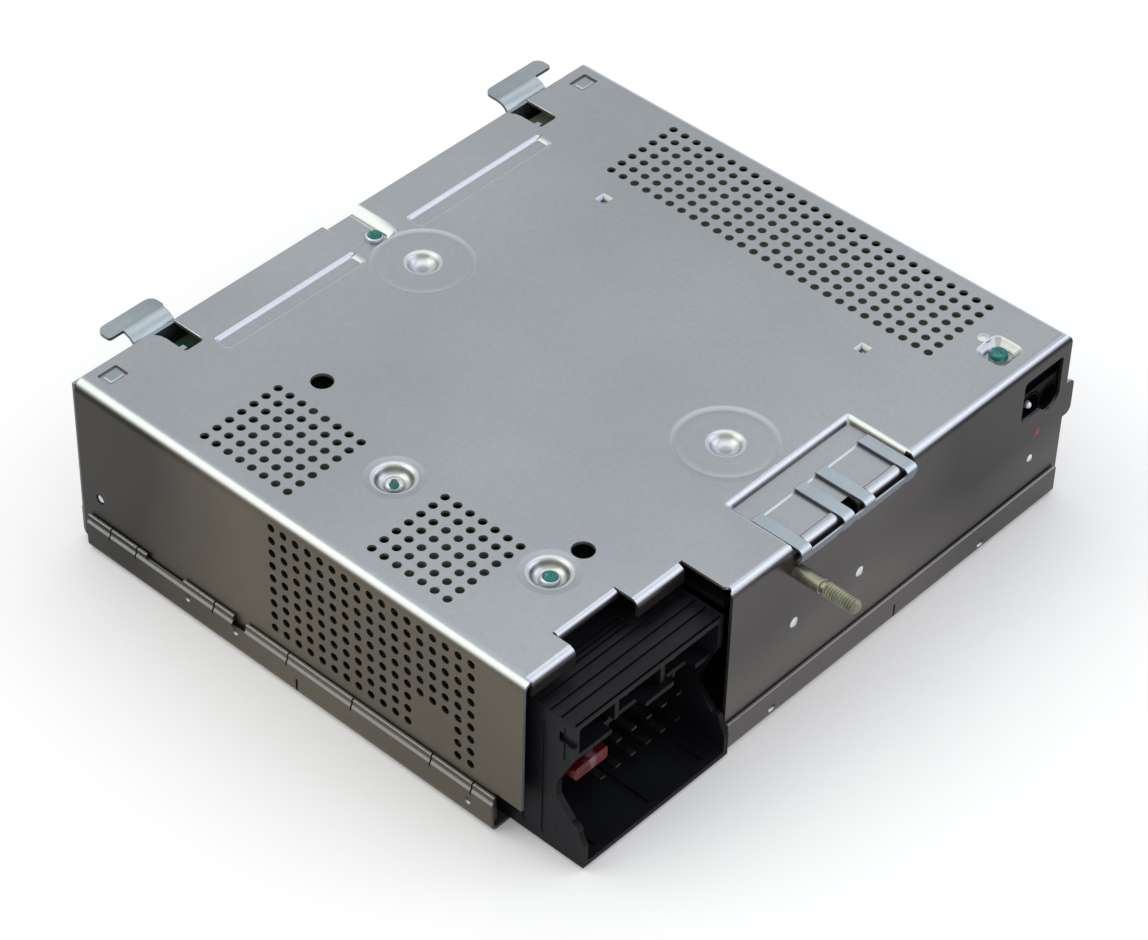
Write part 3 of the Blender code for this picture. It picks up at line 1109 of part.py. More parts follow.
def make_aerial_socket(body_material, pin_material):
    """Socket body behind its opening, with a screw column, two bores and a pin in each."""
    front = BOX_REAR_Y + SHEET + AERIAL_INSET
    low = (AERIAL_OPENING_X[0] + AERIAL_INSET, front, AERIAL_BODY_Z[0])
    high = (AERIAL_OPENING_X[1] - AERIAL_INSET, AERIAL_BACK_Y, AERIAL_BODY_Z[1])
    bm = bmesh.new()
    add_box(bm, low, high)
    body = make_object("aerial_socket", bm, body_material)
    column_top = BOX_HEIGHT - POCKET_DEPTH - SHEET - SEAT_GAP
    bm = bmesh.new()
    add_prism(bm, circle(SCREW_REAR, AERIAL_BOSS_RADIUS, 12), "z", low[2] + SHEET, column_top)
    join(body, bm)
    bm = bmesh.new()
    bore_bottom = column_top - SCREW_SHORT - SCREW_RADIUS
    add_prism(bm, circle(SCREW_REAR, SCREW_RADIUS + SEAT_GAP, 8), "z", bore_bottom, column_top + OVERRUN)
    cut(body, bm)
    bm = bmesh.new()
    floor = front + AERIAL_BORE_DEPTH
    for bore in AERIAL_BORES:
        add_prism(bm, circle(bore, AERIAL_BORE_RADIUS, 12), "y", front - OVERRUN, floor)
    cut(body, bm)
    bm = bmesh.new()
    for bore in AERIAL_BORES:
        add_prism(bm, circle(bore, AERIAL_PIN_RADIUS + SEAT_GAP, 8), "y", floor - OVERRUN, AERIAL_BACK_Y + OVERRUN)
    cut(body, bm)
    tail = AERIAL_BACK_Y + AERIAL_PIN_TAIL
    for name, bore in zip(("aerial_pin_left", "aerial_pin_right"), AERIAL_BORES):
        bm = bmesh.new()
        collar = AERIAL_BACK_Y + SEAT_GAP
        tip = floor - AERIAL_PIN_REACH
        profile = [(AERIAL_PIN_RADIUS * AERIAL_PIN_TIP_SHARE, tip), (AERIAL_PIN_RADIUS, tip + AERIAL_PIN_CONE)]
        profile += [(AERIAL_PIN_RADIUS, collar), (AERIAL_PIN_COLLAR, collar), (AERIAL_PIN_COLLAR, tail)]
        add_lathe(bm, profile, bore, "y", 8)
        shade(make_object(name, bm, pin_material))
    return body


def make_earth_stud(material):
    """Stepped stud through the flange, with a collar behind it and a groove half way out."""
    groove = BOX_REAR_Y - STUD_GROOVE_REACH
    tip = BOX_REAR_Y - STUD_REACH
    profile = [
        (STUD_COLLAR_RADIUS, STUD_SEAT_Y + STUD_COLLAR), (STUD_COLLAR_RADIUS, STUD_SEAT_Y), (STUD_RADIUS, STUD_SEAT_Y),
        (STUD_RADIUS, groove + STUD_GROOVE / 2), (STUD_GROOVE_RADIUS, groove + STUD_GROOVE / 2),
        (STUD_GROOVE_RADIUS, groove - STUD_GROOVE / 2), (STUD_RADIUS, groove - STUD_GROOVE / 2),
        (STUD_RADIUS, tip + STUD_CHAMFER), (STUD_RADIUS - STUD_CHAMFER, tip),
    ]
    bm = bmesh.new()
    add_lathe(bm, profile, (STUD_X, STUD_Z), "y", 16)
    return make_object("earth_stud", bm, material)


def make_spring_clip(material):
    """Four fingers in the pocket, bent over the rear edge into one leaning bar."""
    bend_y = BOX_REAR_Y - CLIP_BEND_REACH
    foot = (BOX_REAR_Y - CLIP_FOOT_REACH, CLIP_FOOT_Z)
    path = [(from_rear(CLIP_TIP_REAR_INSET)[0], CLIP_TOP_Z), (bend_y, CLIP_TOP_Z), foot]
    finger = bent_sheet(path, CLIP_SHEET, [CLIP_RADIUS])
    share = (CLIP_TOP_Z - CLIP_BAR_TOP_Z) / (CLIP_TOP_Z - CLIP_FOOT_Z)
    start = (bend_y + (foot[0] - bend_y) * share, CLIP_BAR_TOP_Z)
    bar = bent_sheet([start, foot], CLIP_SHEET, [])
    places = [CLIP_MIDDLE_X + offset for offset in CLIP_FINGER_OFFSETS]
    half = CLIP_FINGER / 2
    bm = bmesh.new()
    add_prism(bm, bar, "x", places[0] - half, places[-1] + half)
    clip = make_object("spring_clip", bm, material)
    bm = bmesh.new()
    for x in places:
        add_prism(bm, finger, "x", x - half, x + half)
    join(clip, bm)
    return clip


# Screws, posts and spacers

def make_screw(name, place, seat_z, length, material):
    """Pan-head screw standing on its seat."""
    under = seat_z + SEAT_GAP
    top = under + SCREW_HEAD_HEIGHT
    profile = [
        (SCREW_RADIUS, under - length), (SCREW_RADIUS, under), (SCREW_HEAD_RADIUS, under),
        (SCREW_HEAD_RADIUS, under + SCREW_HEAD_HEIGHT * SCREW_HEAD_SIDE_SHARE),
        (SCREW_HEAD_RADIUS * SCREW_HEAD_CROWN_SHARE, top),
    ]
    bm = bmesh.new()
    add_lathe(bm, profile, place, "z", 12)
    shade(make_object(name, bm, material))


def make_post(name, place, top_z, material):
    """Hexagonal post pressed into the tray, bored for its screw from above."""
    bm = bmesh.new()
    stub = [(POST_STUB_RADIUS, SHEET / 4), (POST_STUB_RADIUS, SHEET + SEAT_GAP)]
    add_lathe(bm, stub + [(POST_RADIUS, SHEET + SEAT_GAP), (POST_RADIUS, top_z)], place, "z", 6)
    post = make_object(name, bm, material)
    bm = bmesh.new()
    add_prism(bm, circle(place, SCREW_RADIUS + SEAT_GAP, 8), "z", top_z - POST_BORE_DEPTH, top_z + OVERRUN)
    cut(post, bm)


def make_spacer(name, place, top_z, material):
    """Sleeve between the board and whatever the screw pulls down on it."""
    bm = bmesh.new()
    low = BOARD_TOP_Z + SEAT_GAP
    add_prism(bm, circle(place, SPACER_RADIUS, 10), "z", low, top_z - SEAT_GAP)
    spacer = make_object(name, bm, material)
    bm = bmesh.new()
    add_prism(bm, circle(place, SCREW_RADIUS + SEAT_GAP, 8), "z", low - OVERRUN, top_z + OVERRUN)
    cut(spacer, bm)


def make_fixings(screw_material, post_material):
    dimple_z = BOX_HEIGHT - DIMPLE_DEPTH
    pocket_z = BOX_HEIGHT - POCKET_DEPTH
    frame_under = pocket_z - SHEET - SEAT_GAP - FRAME_SHEET
    make_screw("cover_screw_left_front", SCREW_LEFT_FRONT, dimple_z, SCREW_LENGTH, screw_material)
    make_screw("cover_screw_left_rear", SCREW_LEFT_REAR, dimple_z, SCREW_LENGTH, screw_material)
    make_screw("cover_screw_front", SCREW_FRONT, pocket_z, SCREW_LENGTH, screw_material)
    make_screw("cover_screw_rear", SCREW_REAR, pocket_z, SCREW_SHORT, screw_material)
    make_post("post_left_front", SCREW_LEFT_FRONT, UNDER_BOARD_Z, post_material)
    make_post("post_left_rear", SCREW_LEFT_REAR, UNDER_BOARD_Z, post_material)
    make_post("post_front", SCREW_FRONT, UNDER_BOARD_Z, post_material)
    make_spacer("spacer_left_front", SCREW_LEFT_FRONT, dimple_z - SHEET, post_material)
    make_spacer("spacer_left_rear", SCREW_LEFT_REAR, dimple_z - SHEET, post_material)
    make_spacer("spacer_front", SCREW_FRONT, frame_under, post_material)


# Heat sink and amplifier

def make_heat_sink(material):
    """Finned block seen from above: a plate with fins towards the side vents."""
    left, right = SINK_X
    plate = right - SINK_PLATE
    pitch = (SINK_Y[1] - SINK_Y[0] - SINK_FIN) / (SINK_FIN_COUNT - 1)
    points = [(right, SINK_Y[1]), (right, SINK_Y[0])]
    for i in range(SINK_FIN_COUNT):
        y = SINK_Y[0] + i * pitch
        points += [(plate, y)] if i else []
        points += [(left, y), (left, y + SINK_FIN)]
        points += [(plate, y + SINK_FIN)] if i < SINK_FIN_COUNT - 1 else []
    bm = bmesh.new()
    add_prism(bm, points, "z", HEADER_BOTTOM_Z, UNDER_BOARD_Z)
    sink = make_object("heat_sink", bm, material)
    bm = bmesh.new()
    hole = circle(clamp_screw_place(), SCREW_RADIUS + SEAT_GAP, 8)
    add_prism(bm, hole, "x", right - SINK_PLATE - OVERRUN, right + OVERRUN)
    cut(sink, bm)
    return sink


def clamp_screw_place():
    return AMP_Y[0] - CLAMP_RUN_IN - CLAMP_FOOT / 2, (CLAMP_Z[0] + CLAMP_Z[1]) / 2


def make_amplifier(material):
    """Amplifier chip on the heat sink, with its row of leads up to the board as one strip."""
    near = SINK_X[1] + SEAT_GAP
    far = near + AMP_THICK
    bm = bmesh.new()
    add_box(bm, (near, AMP_Y[0], AMP_Z[0]), (far, AMP_Y[1], AMP_Z[1]))
    chip = make_object("amplifier_chip", bm, material)
    middle = (near + far) / 2
    bm = bmesh.new()
    add_box(bm, (middle - AMP_LEAD / 2, AMP_Y[0] + AMP_LEAD_INSET, AMP_Z[1] - OVERRUN),
            (middle + AMP_LEAD / 2, AMP_Y[1] - AMP_LEAD_INSET, UNDER_BOARD_Z))
    join(chip, bm)
    return chip


def make_amplifier_clamp(material, screw_material):
    """Stepped spring strip that holds the chip, and its screw."""
    sink = SINK_X[1] + SEAT_GAP
    over = sink + AMP_THICK + SEAT_GAP
    foot_end = AMP_Y[0] - CLAMP_RUN_IN
    path = [
        (over, AMP_Y[1] - AMP_LEAD_INSET), (over, AMP_Y[0] - CLAMP_RUN_IN / 4), (sink, foot_end),
        (sink, foot_end - CLAMP_FOOT),
    ]
    outline = bent_sheet(path, SHEET, [CLAMP_RADIUS] * 2)
    bm = bmesh.new()
    add_prism(bm, outline, "z", CLAMP_Z[0], CLAMP_Z[1])
    clamp = make_object("amplifier_clamp", bm, material)
    place = clamp_screw_place()
    bm = bmesh.new()
    add_prism(bm, circle(place, SCREW_RADIUS + SEAT_GAP, 8), "x", sink - OVERRUN, sink + SHEET + OVERRUN)
    cut(clamp, bm)
    under = sink + SHEET + SEAT_GAP
    profile = [(SCREW_RADIUS, sink - CLAMP_SCREW_LENGTH), (SCREW_RADIUS, under), (SCREW_HEAD_RADIUS, under)]
    profile += [(SCREW_HEAD_RADIUS, under + CLAMP_SCREW_HEAD)]
    bm = bmesh.new()
    add_lathe(bm, profile, place, "x", 10)
    shade(make_object("clamp_screw", bm, screw_material))
    return clamp


# Tuner can and parts under the board

def make_tuner_can(material):
    """Screening can: four walls with one partition, open to the board and to its lid."""
    low_z = UNDER_BOARD_Z - CAN_DEPTH
    bm = bmesh.new()
    add_box(bm, (CAN_X[0], CAN_Y[0], low_z), (CAN_X[1], CAN_Y[1], UNDER_BOARD_Z))
    can = make_object("tuner_can", bm, material)
    middle = CAN_X[0] + (CAN_X[1] - CAN_X[0]) * CAN_PARTITION_SHARE
    spans = ((CAN_X[0] + CAN_WALL, middle), (middle + CAN_WALL, CAN_X[1] - CAN_WALL))
    bm = bmesh.new()
    for left, right in spans:
        add_box(bm, (left, CAN_Y[0] + CAN_WALL, low_z - OVERRUN),
                (right, CAN_Y[1] - CAN_WALL, UNDER_BOARD_Z + OVERRUN))
    cut(can, bm)
    return can


def make_tuner_lid(material):
    """Push-on lid with lips round the can."""
    reach = SEAT_GAP + CAN_WALL
    top = UNDER_BOARD_Z - CAN_DEPTH - SEAT_GAP
    low = (CAN_X[0] - reach, CAN_Y[0] - reach)
    high = (CAN_X[1] + reach, CAN_Y[1] + reach)
    bm = bmesh.new()
    add_box(bm, (*low, top - CAN_WALL), (*high, top + CAN_LID_LIP))
    lid = make_object("tuner_can_lid", bm, material)
    bm = bmesh.new()
    add_box(bm, (low[0] + CAN_WALL, low[1] + CAN_WALL, top),
            (high[0] - CAN_WALL, high[1] - CAN_WALL, top + CAN_LID_LIP + OVERRUN))
    cut(lid, bm)
    return lid


def make_chip(name, place, size, material):
    """Flat chip hanging from the board: a thin rim of leads below the board, then its body."""
    top = UNDER_BOARD_Z
    half_x, half_y, height = size[0] / 2, size[1] / 2, size[2]
    levels = [
        (top, half_x + CHIP_LEADS, half_y + CHIP_LEADS),
        (top - CHIP_LEAD_THICK, half_x + CHIP_LEADS, half_y + CHIP_LEADS),
        (top - CHIP_LEAD_THICK, half_x, half_y),
        (top - height, half_x, half_y),
        (top - height - CHIP_EDGE, half_x - CHIP_EDGE, half_y - CHIP_EDGE),
    ]
    bm = bmesh.new()
    add_stack(bm, place, levels)
    make_object(name, bm, material)


def make_block(name, place, size, material):
    """Moulded or canned part with softened lower edges, seated below the board."""
    top = UNDER_BOARD_Z
    half_x, half_y, height = size[0] / 2, size[1] / 2, size[2]
    levels = [
        (top, half_x, half_y),
        (top - height + CHIP_EDGE, half_x, half_y),
        (top - height, half_x - CHIP_EDGE, half_y - CHIP_EDGE),
    ]
    bm = bmesh.new()
    add_stack(bm, place, levels)
    make_object(name, bm, material)


def make_capacitor(name, place, size, material):
    """Round can hanging from the board, crimped near its seal."""
    radius, height = size
    top = UNDER_BOARD_Z
    crimp = top - CAPACITOR_CRIMP_AT
    profile = [
        (radius - CHIP_EDGE, top), (radius, top - CHIP_EDGE), (radius, crimp + CAPACITOR_CRIMP),
        (radius - CAPACITOR_CRIMP / 2, crimp), (radius, crimp - CAPACITOR_CRIMP),
        (radius, top - height + CHIP_EDGE), (radius - CHIP_EDGE, top - height),
    ]
    bm = bmesh.new()
    add_lathe(bm, profile, place, "z", 14)
    shade(make_object(name, bm, material))


def main():
    for piece in list(bpy.data.objects):
        bpy.data.objects.remove(piece, do_unlink=True)
    steel = make_material("plated_steel", (0.37, 0.40, 0.42), 0.34, 1.0)
    tray_steel = make_material("tray_steel", (0.33, 0.35, 0.36), 0.38, 1.0)
    zinc = make_material("blue_zinc", (0.40, 0.48, 0.52), 0.30, 1.0)
    yellow_zinc = make_material("yellow_zinc", (0.42, 0.38, 0.18), 0.35, 1.0)
    black = make_material("black_plastic", (0.010, 0.010, 0.012), 0.45, 0.0)
    tin = make_material("tinned_contact", (0.55, 0.50, 0.42), 0.30, 1.0)
    red = make_material("red_fuse_plastic", (0.45, 0.008, 0.012), 0.25, 0.0)
    paint = make_material("green_sealed_screw", (0.006, 0.18, 0.12), 0.40, 0.0)
    board_green = make_material("board_green", (0.006, 0.07, 0.025), 0.35, 0.0)
    brass = make_material("post_brass", (0.55, 0.44, 0.20), 0.35, 1.0)
    aluminium = make_material("sink_aluminium", (0.55, 0.56, 0.57), 0.45, 1.0)
    chip_black = make_material("chip_black", (0.015, 0.015, 0.016), 0.60, 0.0)
    can_blue = make_material("capacitor_sleeve", (0.012, 0.020, 0.060), 0.40, 0.0)

    shade(make_top_cover(steel))
    shade(make_bottom_tray(tray_steel))
    frame = make_front_frame(zinc)
    trim_front_frame(frame)
    shade(frame)
    make_main_board(board_green)
    shade(make_header(black))
    make_power_contacts(black)
    make_signal_contacts(black)
    make_fuse_body(red)
    make_fuse_blades(tin)
    shade(make_aerial_socket(black, tin))
    shade(make_earth_stud(yellow_zinc))
    shade(make_spring_clip(zinc))
    make_fixings(paint, brass)
    make_heat_sink(aluminium)
    make_amplifier(chip_black)
    shade(make_amplifier_clamp(zinc, zinc))
    make_tuner_can(tin)
    make_tuner_lid(tin)
    tuner_x = CAN_X[0] + (CAN_X[1] - CAN_X[0]) * TUNER_CHIP_CORNER_SHARES[0]
    tuner_y = CAN_Y[0] + (CAN_Y[1] - CAN_Y[0]) * TUNER_CHIP_CORNER_SHARES[1]
    choke = (HEADER_X[1] + CHOKE_HEADER_GAP + POWER_CHOKE[0] / 2, *from_rear(CHOKE_REAR_INSET))
    make_chip("processor_chip", on_board(PROCESSOR_PLACE_SHARES), PROCESSOR, chip_black)
    make_chip("sound_chip", on_board(SOUND_CHIP_PLACE_SHARES), SOUND_CHIP, chip_black)
    make_chip("memory_chip", on_board(MEMORY_CHIP_PLACE_SHARES), MEMORY_CHIP, chip_black)
    make_chip("tuner_chip", (tuner_x, tuner_y), TUNER_CHIP_SIZE, chip_black)
    make_block("power_choke", choke, POWER_CHOKE, chip_black)
    make_block("crystal_can", on_board(CRYSTAL_PLACE_SHARES), CRYSTAL, tin)
    make_block("voltage_regulator", on_board(REGULATOR_PLACE_SHARES), REGULATOR, chip_black)
    for name, shares in CAPACITOR_PLACE_SHARES.items():
        make_capacitor(name, on_board(shares), CAPACITOR_SIZES[name], can_blue)


main()
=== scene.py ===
import math
import bmesh
import bpy
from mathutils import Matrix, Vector


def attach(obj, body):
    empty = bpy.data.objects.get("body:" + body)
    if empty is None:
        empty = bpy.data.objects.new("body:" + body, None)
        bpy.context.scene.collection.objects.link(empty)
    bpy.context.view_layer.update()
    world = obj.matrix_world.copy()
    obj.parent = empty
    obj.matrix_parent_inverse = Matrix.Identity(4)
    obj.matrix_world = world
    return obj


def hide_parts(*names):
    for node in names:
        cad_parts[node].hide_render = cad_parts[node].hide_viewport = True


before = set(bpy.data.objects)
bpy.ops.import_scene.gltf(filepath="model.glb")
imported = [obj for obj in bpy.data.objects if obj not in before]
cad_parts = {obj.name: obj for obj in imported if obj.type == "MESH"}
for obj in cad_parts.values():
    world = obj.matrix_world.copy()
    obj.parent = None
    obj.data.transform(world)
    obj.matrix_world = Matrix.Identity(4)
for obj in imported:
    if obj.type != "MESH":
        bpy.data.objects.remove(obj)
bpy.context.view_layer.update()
mm = 0.001  # the shapes are measured in millimetres, the looks, camera and lamps in metres


# small helpers for modelling by hand

def deselectAll():
    if bpy.context.mode != "OBJECT":
        bpy.ops.object.mode_set(mode="OBJECT")
    bpy.ops.object.select_all(action="DESELECT")


def makeActive(piece):
    deselectAll()
    piece.select_set(True)
    bpy.context.view_layer.objects.active = piece


def settle(piece):
    makeActive(piece)  # the place and turn go into the mesh
    bpy.ops.object.transform_apply(location=True, rotation=True, scale=True)
    return piece


def setDown(piece, center, turn):
    piece.rotation_euler = [math.radians(angle) for angle in turn]
    piece.location = [value * mm for value in center]
    return settle(piece)


def turnOut():
    # all faces of the mesh in edit mode look outwards, and object mode comes back
    bpy.ops.mesh.select_all(action="SELECT")
    bpy.ops.mesh.normals_make_consistent(inside=False)
    bpy.ops.object.mode_set(mode="OBJECT")


def modify(piece, kind, **settings):
    # one modifier, set and applied
    makeActive(piece)
    step = piece.modifiers.new("step", kind)
    for name, value in settings.items():
        setattr(step, name, value)
    bpy.ops.object.modifier_apply(modifier=step.name)
    return piece


def addSlab(name, low, high):
    deselectAll()
    bpy.ops.mesh.primitive_cube_add(size=1, location=[(a + b) / 2 * mm for a, b in zip(low, high)])
    piece = bpy.context.object
    piece.name = name
    piece.scale = [(b - a) * mm for a, b in zip(low, high)]
    return settle(piece)


def addSlabs(name, spans):
    return [addSlab(name, low, high) for low, high in spans]


def pick(piece, wanted, kind="FACE"):
    # in edit mode, selects the faces, edges or vertices that the test wants
    makeActive(piece)
    bpy.ops.object.mode_set(mode="EDIT")
    bpy.ops.mesh.select_mode(type=kind)
    bpy.ops.mesh.select_all(action="DESELECT")
    mesh = bmesh.from_edit_mesh(piece.data)
    for part in {"FACE": mesh.faces, "EDGE": mesh.edges, "VERT": mesh.verts}[kind]:
        if wanted(part):
            part.select = True
    mesh.select_flush_mode()
    bmesh.update_edit_mesh(piece.data)


def edgeAt(**limits):
    # an edge whose two ends lie within the given limits, in millimetres
    spans = [("xyz".index(key), low * mm, high * mm) for key, (low, high) in limits.items()]
    return lambda edge: all(low <= end.co[axis] <= high for end in edge.verts for axis, low, high in spans)


def bevelEdges(piece, wanted, width, segments):
    pick(piece, wanted, "EDGE")
    bpy.ops.mesh.bevel(offset=width * mm, segments=segments, affect="EDGES")
    bpy.ops.object.mode_set(mode="OBJECT")


def drawUp(name, size, levels, center=(0, 0, 0), corner=None, turn=(0, 0, 0), sides=32):
    # a round or rounded flat face, drawn up through (height, grow) levels, then turned and placed
    deselectAll()
    if corner is None:
        bpy.ops.mesh.primitive_circle_add(vertices=sides, radius=size[0] / 2 * mm, fill_type="NGON")
    else:
        bpy.ops.mesh.primitive_plane_add(size=1)
        bpy.context.object.scale = (size[0] * mm, size[1] * mm, 1)
        settle(bpy.context.object)
    piece = bpy.context.object
    piece.name = name
    bpy.ops.object.mode_set(mode="EDIT")
    bpy.ops.mesh.select_all(action="SELECT")
    if corner:
        bpy.ops.mesh.bevel(offset=corner * mm, segments=4, affect="VERTICES")
        bpy.ops.mesh.select_all(action="SELECT")
    height, grow = levels[0]
    bpy.ops.transform.translate(value=(0, 0, height * mm))
    bpy.ops.transform.resize(value=(1 + 2 * grow / size[0], 1 + 2 * grow / size[1], 1))
    for nextHeight, nextGrow in levels[1:]:
        bpy.ops.mesh.extrude_region_move(TRANSFORM_OT_translate={"value": (0, 0, (nextHeight - height) * mm)})
        bpy.ops.transform.resize(value=((size[0] + 2 * nextGrow) / (size[0] + 2 * grow),
                                        (size[1] + 2 * nextGrow) / (size[1] + 2 * grow), 1))
        height, grow = nextHeight, nextGrow
    turnOut()
    return setDown(piece, center, turn)


def drawRound(name, width, levels, center, turn=(0, 0, 0), sides=32):
    return drawUp(name, (width, width), levels, center, None, turn, sides)


def drawLine(name, start, steps):
    # one point, pulled on step by step, and left in edit mode with the whole line selected
    deselectAll()
    bpy.ops.mesh.primitive_plane_add(size=mm)
    piece = bpy.context.object
    piece.name = name
    bpy.ops.object.mode_set(mode="EDIT")
    bpy.ops.mesh.select_mode(type="VERT")
    bpy.ops.mesh.select_all(action="SELECT")
    bpy.ops.mesh.merge(type="CENTER")
    bpy.ops.transform.translate(value=start)
    for step in steps:
        bpy.ops.mesh.extrude_vertices_move(TRANSFORM_OT_translate={"value": step})
    bpy.ops.mesh.select_all(action="SELECT")
    return piece


def drawAcross(name, points, along, start):
    # a line that lies across one axis
    axes = [axis for axis in range(3) if axis != along]
    places = [Vector((0, 0, 0)) for point in points]
    for place, point in zip(places, points):
        place[axes[0]], place[axes[1]] = point[0] * mm, point[1] * mm
    steps = [there - here for here, there in zip(places, places[1:])]
    places[0][along] = start * mm
    return drawLine(name, places[0], steps)


def pullAlong(along, span):
    pull = Vector((0, 0, 0))
    pull[along] = (span[1] - span[0]) * mm
    bpy.ops.mesh.extrude_region_move(TRANSFORM_OT_translate={"value": pull})


def spinUp(name, outline, center=(0, 0, 0), turn=(0, 0, 0), steps=40):
    # a drawn outline of (radius, height) points, spun round the upright axis
    piece = drawLine(name, (outline[0][0] * mm, 0, outline[0][1] * mm),
                     [((there[0] - here[0]) * mm, 0, (there[1] - here[1]) * mm)
                      for here, there in zip(outline, outline[1:])])
    bpy.ops.mesh.spin(steps=steps, angle=math.tau, center=(0, 0, 0), axis=(0, 0, 1))
    bpy.ops.mesh.select_all(action="SELECT")
    bpy.ops.mesh.remove_doubles(threshold=0.002 * mm)
    turnOut()
    return setDown(piece, center, turn)


def foldStrip(name, path, bends, along, span, sheet, side=-1, steps=4):
    # a sheet strip: a line through the path's points, its corners rounded, pulled along the
    # third axis over the span and given its thickness on one side
    rounded = [path[0]]
    for before, corner, after, radius in zip(path, path[1:], path[2:], bends):
        into = Vector((corner[0] - before[0], corner[1] - before[1])).normalized()
        out = Vector((after[0] - corner[0], after[1] - corner[1])).normalized()
        angle = into.angle_signed(out)
        reach = radius * math.tan(abs(angle) / 2)
        first = Vector(corner) - into * reach
        turnSide = 1 if into.cross(out) > 0 else -1
        middle = first + Vector((-into[1], into[0])) * radius * turnSide
        arm = first - middle
        for number in range(steps + 1):
            part = abs(angle) * number / steps * turnSide
            rounded.append((middle[0] + arm[0] * math.cos(part) - arm[1] * math.sin(part),
                            middle[1] + arm[0] * math.sin(part) + arm[1] * math.cos(part)))
    piece = drawAcross(name, rounded + [path[-1]], along, span[0])
    pullAlong(along, span)
    return thicken(piece, sheet, side)


def drawPrism(name, points, along, span):
    # an outline drawn point by point, filled and pulled along one axis
    piece = drawAcross(name, points, along, span[0])
    bpy.ops.mesh.edge_face_add()
    pullAlong(along, span)
    turnOut()
    return piece


def thicken(piece, sheet, side=-1):
    modify(piece, "SOLIDIFY", thickness=sheet * mm, offset=side, use_even_offset=True)
    bpy.ops.object.mode_set(mode="EDIT")
    turnOut()
    return piece


def combine(piece, tools, how):
    for tool in tools:
        modify(piece, "BOOLEAN", operation=how, solver="EXACT", object=tool)
        bpy.data.objects.remove(tool)
    return piece


def weld(piece, *tools):
    return combine(piece, tools, "UNION")


def cut(piece, *tools):
    return combine(piece, tools, "DIFFERENCE")


def gather(name, parts):
    # several loose tools or parts as one object
    makeActive(parts[0])
    for part in parts:
        part.select_set(True)
    bpy.ops.object.join()
    bpy.context.object.name = name
    return bpy.context.object


def repeat(piece, counts, steps):
    # rows and columns of a tool
    for count, step in zip(counts, steps):
        if count > 1:
            modify(piece, "ARRAY", count=count, use_relative_offset=False, use_constant_offset=True,
                   constant_offset_displace=[value * mm for value in step])
    return piece


def copyTo(piece, name, move):
    twin = piece.copy()
    twin.data = piece.data.copy()
    twin.name = name
    bpy.context.scene.collection.objects.link(twin)
    twin.location = [value * mm for value in move]
    return settle(twin)


def roundOff(piece, width, segments=2, limit=35):
    return modify(piece, "BEVEL", width=width * mm, segments=segments, limit_method="ANGLE",
                  angle_limit=math.radians(limit))


def dress(piece, material, body, slot, *nodes, angle=32):
    # smooth shading, the material and the piece's place in the assembly
    makeActive(piece)
    bpy.ops.object.shade_smooth_by_angle(angle=math.radians(angle))
    modify(piece, "WEIGHTED_NORMAL", keep_sharp=True, weight=100)
    piece.data.materials.clear()
    piece.data.materials.append(material)
    for face in piece.data.polygons:
        face.material_index = 0
    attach(piece, body)
    if nodes:
        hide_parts(*nodes)


# materials: the node helpers first

def feed(tree, node, values):
    # each named or numbered input takes another node's output or a plain value
    for name, value in values.items():
        if hasattr(value, "links"):
            tree.links.new(value, node.inputs[name])
        else:
            node.inputs[name].default_value = (*value, 1) if isinstance(value, tuple) else value


def addNode(tree, kind, values, **settings):
    node = tree.nodes.new("ShaderNode" + kind)
    for name, value in settings.items():
        setattr(node, name, value)
    feed(tree, node, values)
    return node


def startMaterial(name):
    material = bpy.data.materials.new(name)
    material.use_nodes = True
    tree = material.node_tree
    place = tree.nodes.new("ShaderNodeTexCoord").outputs["Object"]
    return material, tree, tree.nodes["Principled BSDF"], place


def addNoise(tree, place, scale, detail=3.0, stretch=(1, 1, 1)):
    mapping = addNode(tree, "Mapping", {"Vector": place, "Scale": list(stretch)})
    noise = addNode(tree, "TexNoise", {"Vector": mapping.outputs["Vector"], "Scale": scale, "Detail": detail})
    return noise.outputs["Fac"]


def addRamp(tree, factor, *stops):
    ramp = addNode(tree, "ValToRGB", {"Fac": factor})
    while len(ramp.color_ramp.elements) < len(stops):
        ramp.color_ramp.elements.new(0.5)
    for element, (position, colour) in zip(ramp.color_ramp.elements, stops):
        element.position = position
        element.color = (*colour, 1)
    return ramp.outputs["Color"]


def addMix(tree, factor, first, second, blend="MIX"):
    mix = addNode(tree, "Mix", {0: factor, 6: first, 7: second}, data_type="RGBA", blend_type=blend)
    return mix.outputs[2]


def addRange(tree, factor, fromLow, fromHigh, toLow=0, toHigh=1):
    kind = "SMOOTHSTEP" if (toLow, toHigh) == (0, 1) else "LINEAR"
    span = addNode(tree, "MapRange", {"Value": factor, "From Min": fromLow, "From Max": fromHigh,
                                      "To Min": toLow, "To Max": toHigh}, interpolation_type=kind)
    return span.outputs["Result"]


def addMath(tree, operation, result, *others):
    for other in others:
        result = addNode(tree, "Math", {0: result, 1: other}, operation=operation).outputs[0]
    return result


def addBump(tree, shader, height, strength, distance):
    bump = addNode(tree, "Bump", {"Height": height, "Strength": strength, "Distance": distance * mm})
    feed(tree, shader, {"Normal": bump.outputs["Normal"]})


def splitUp(tree, vector):
    return addNode(tree, "SeparateXYZ", {"Vector": vector}).outputs


def facingOf(tree):
    return splitUp(tree, tree.nodes.new("ShaderNodeNewGeometry").outputs["Normal"])


def seenBy(tree, *kinds):
    # 1 for rays of these kinds, otherwise 0
    rays = tree.nodes.new("ShaderNodeLightPath").outputs
    return addMath(tree, "MAXIMUM", *[rays[kind] for kind in kinds])


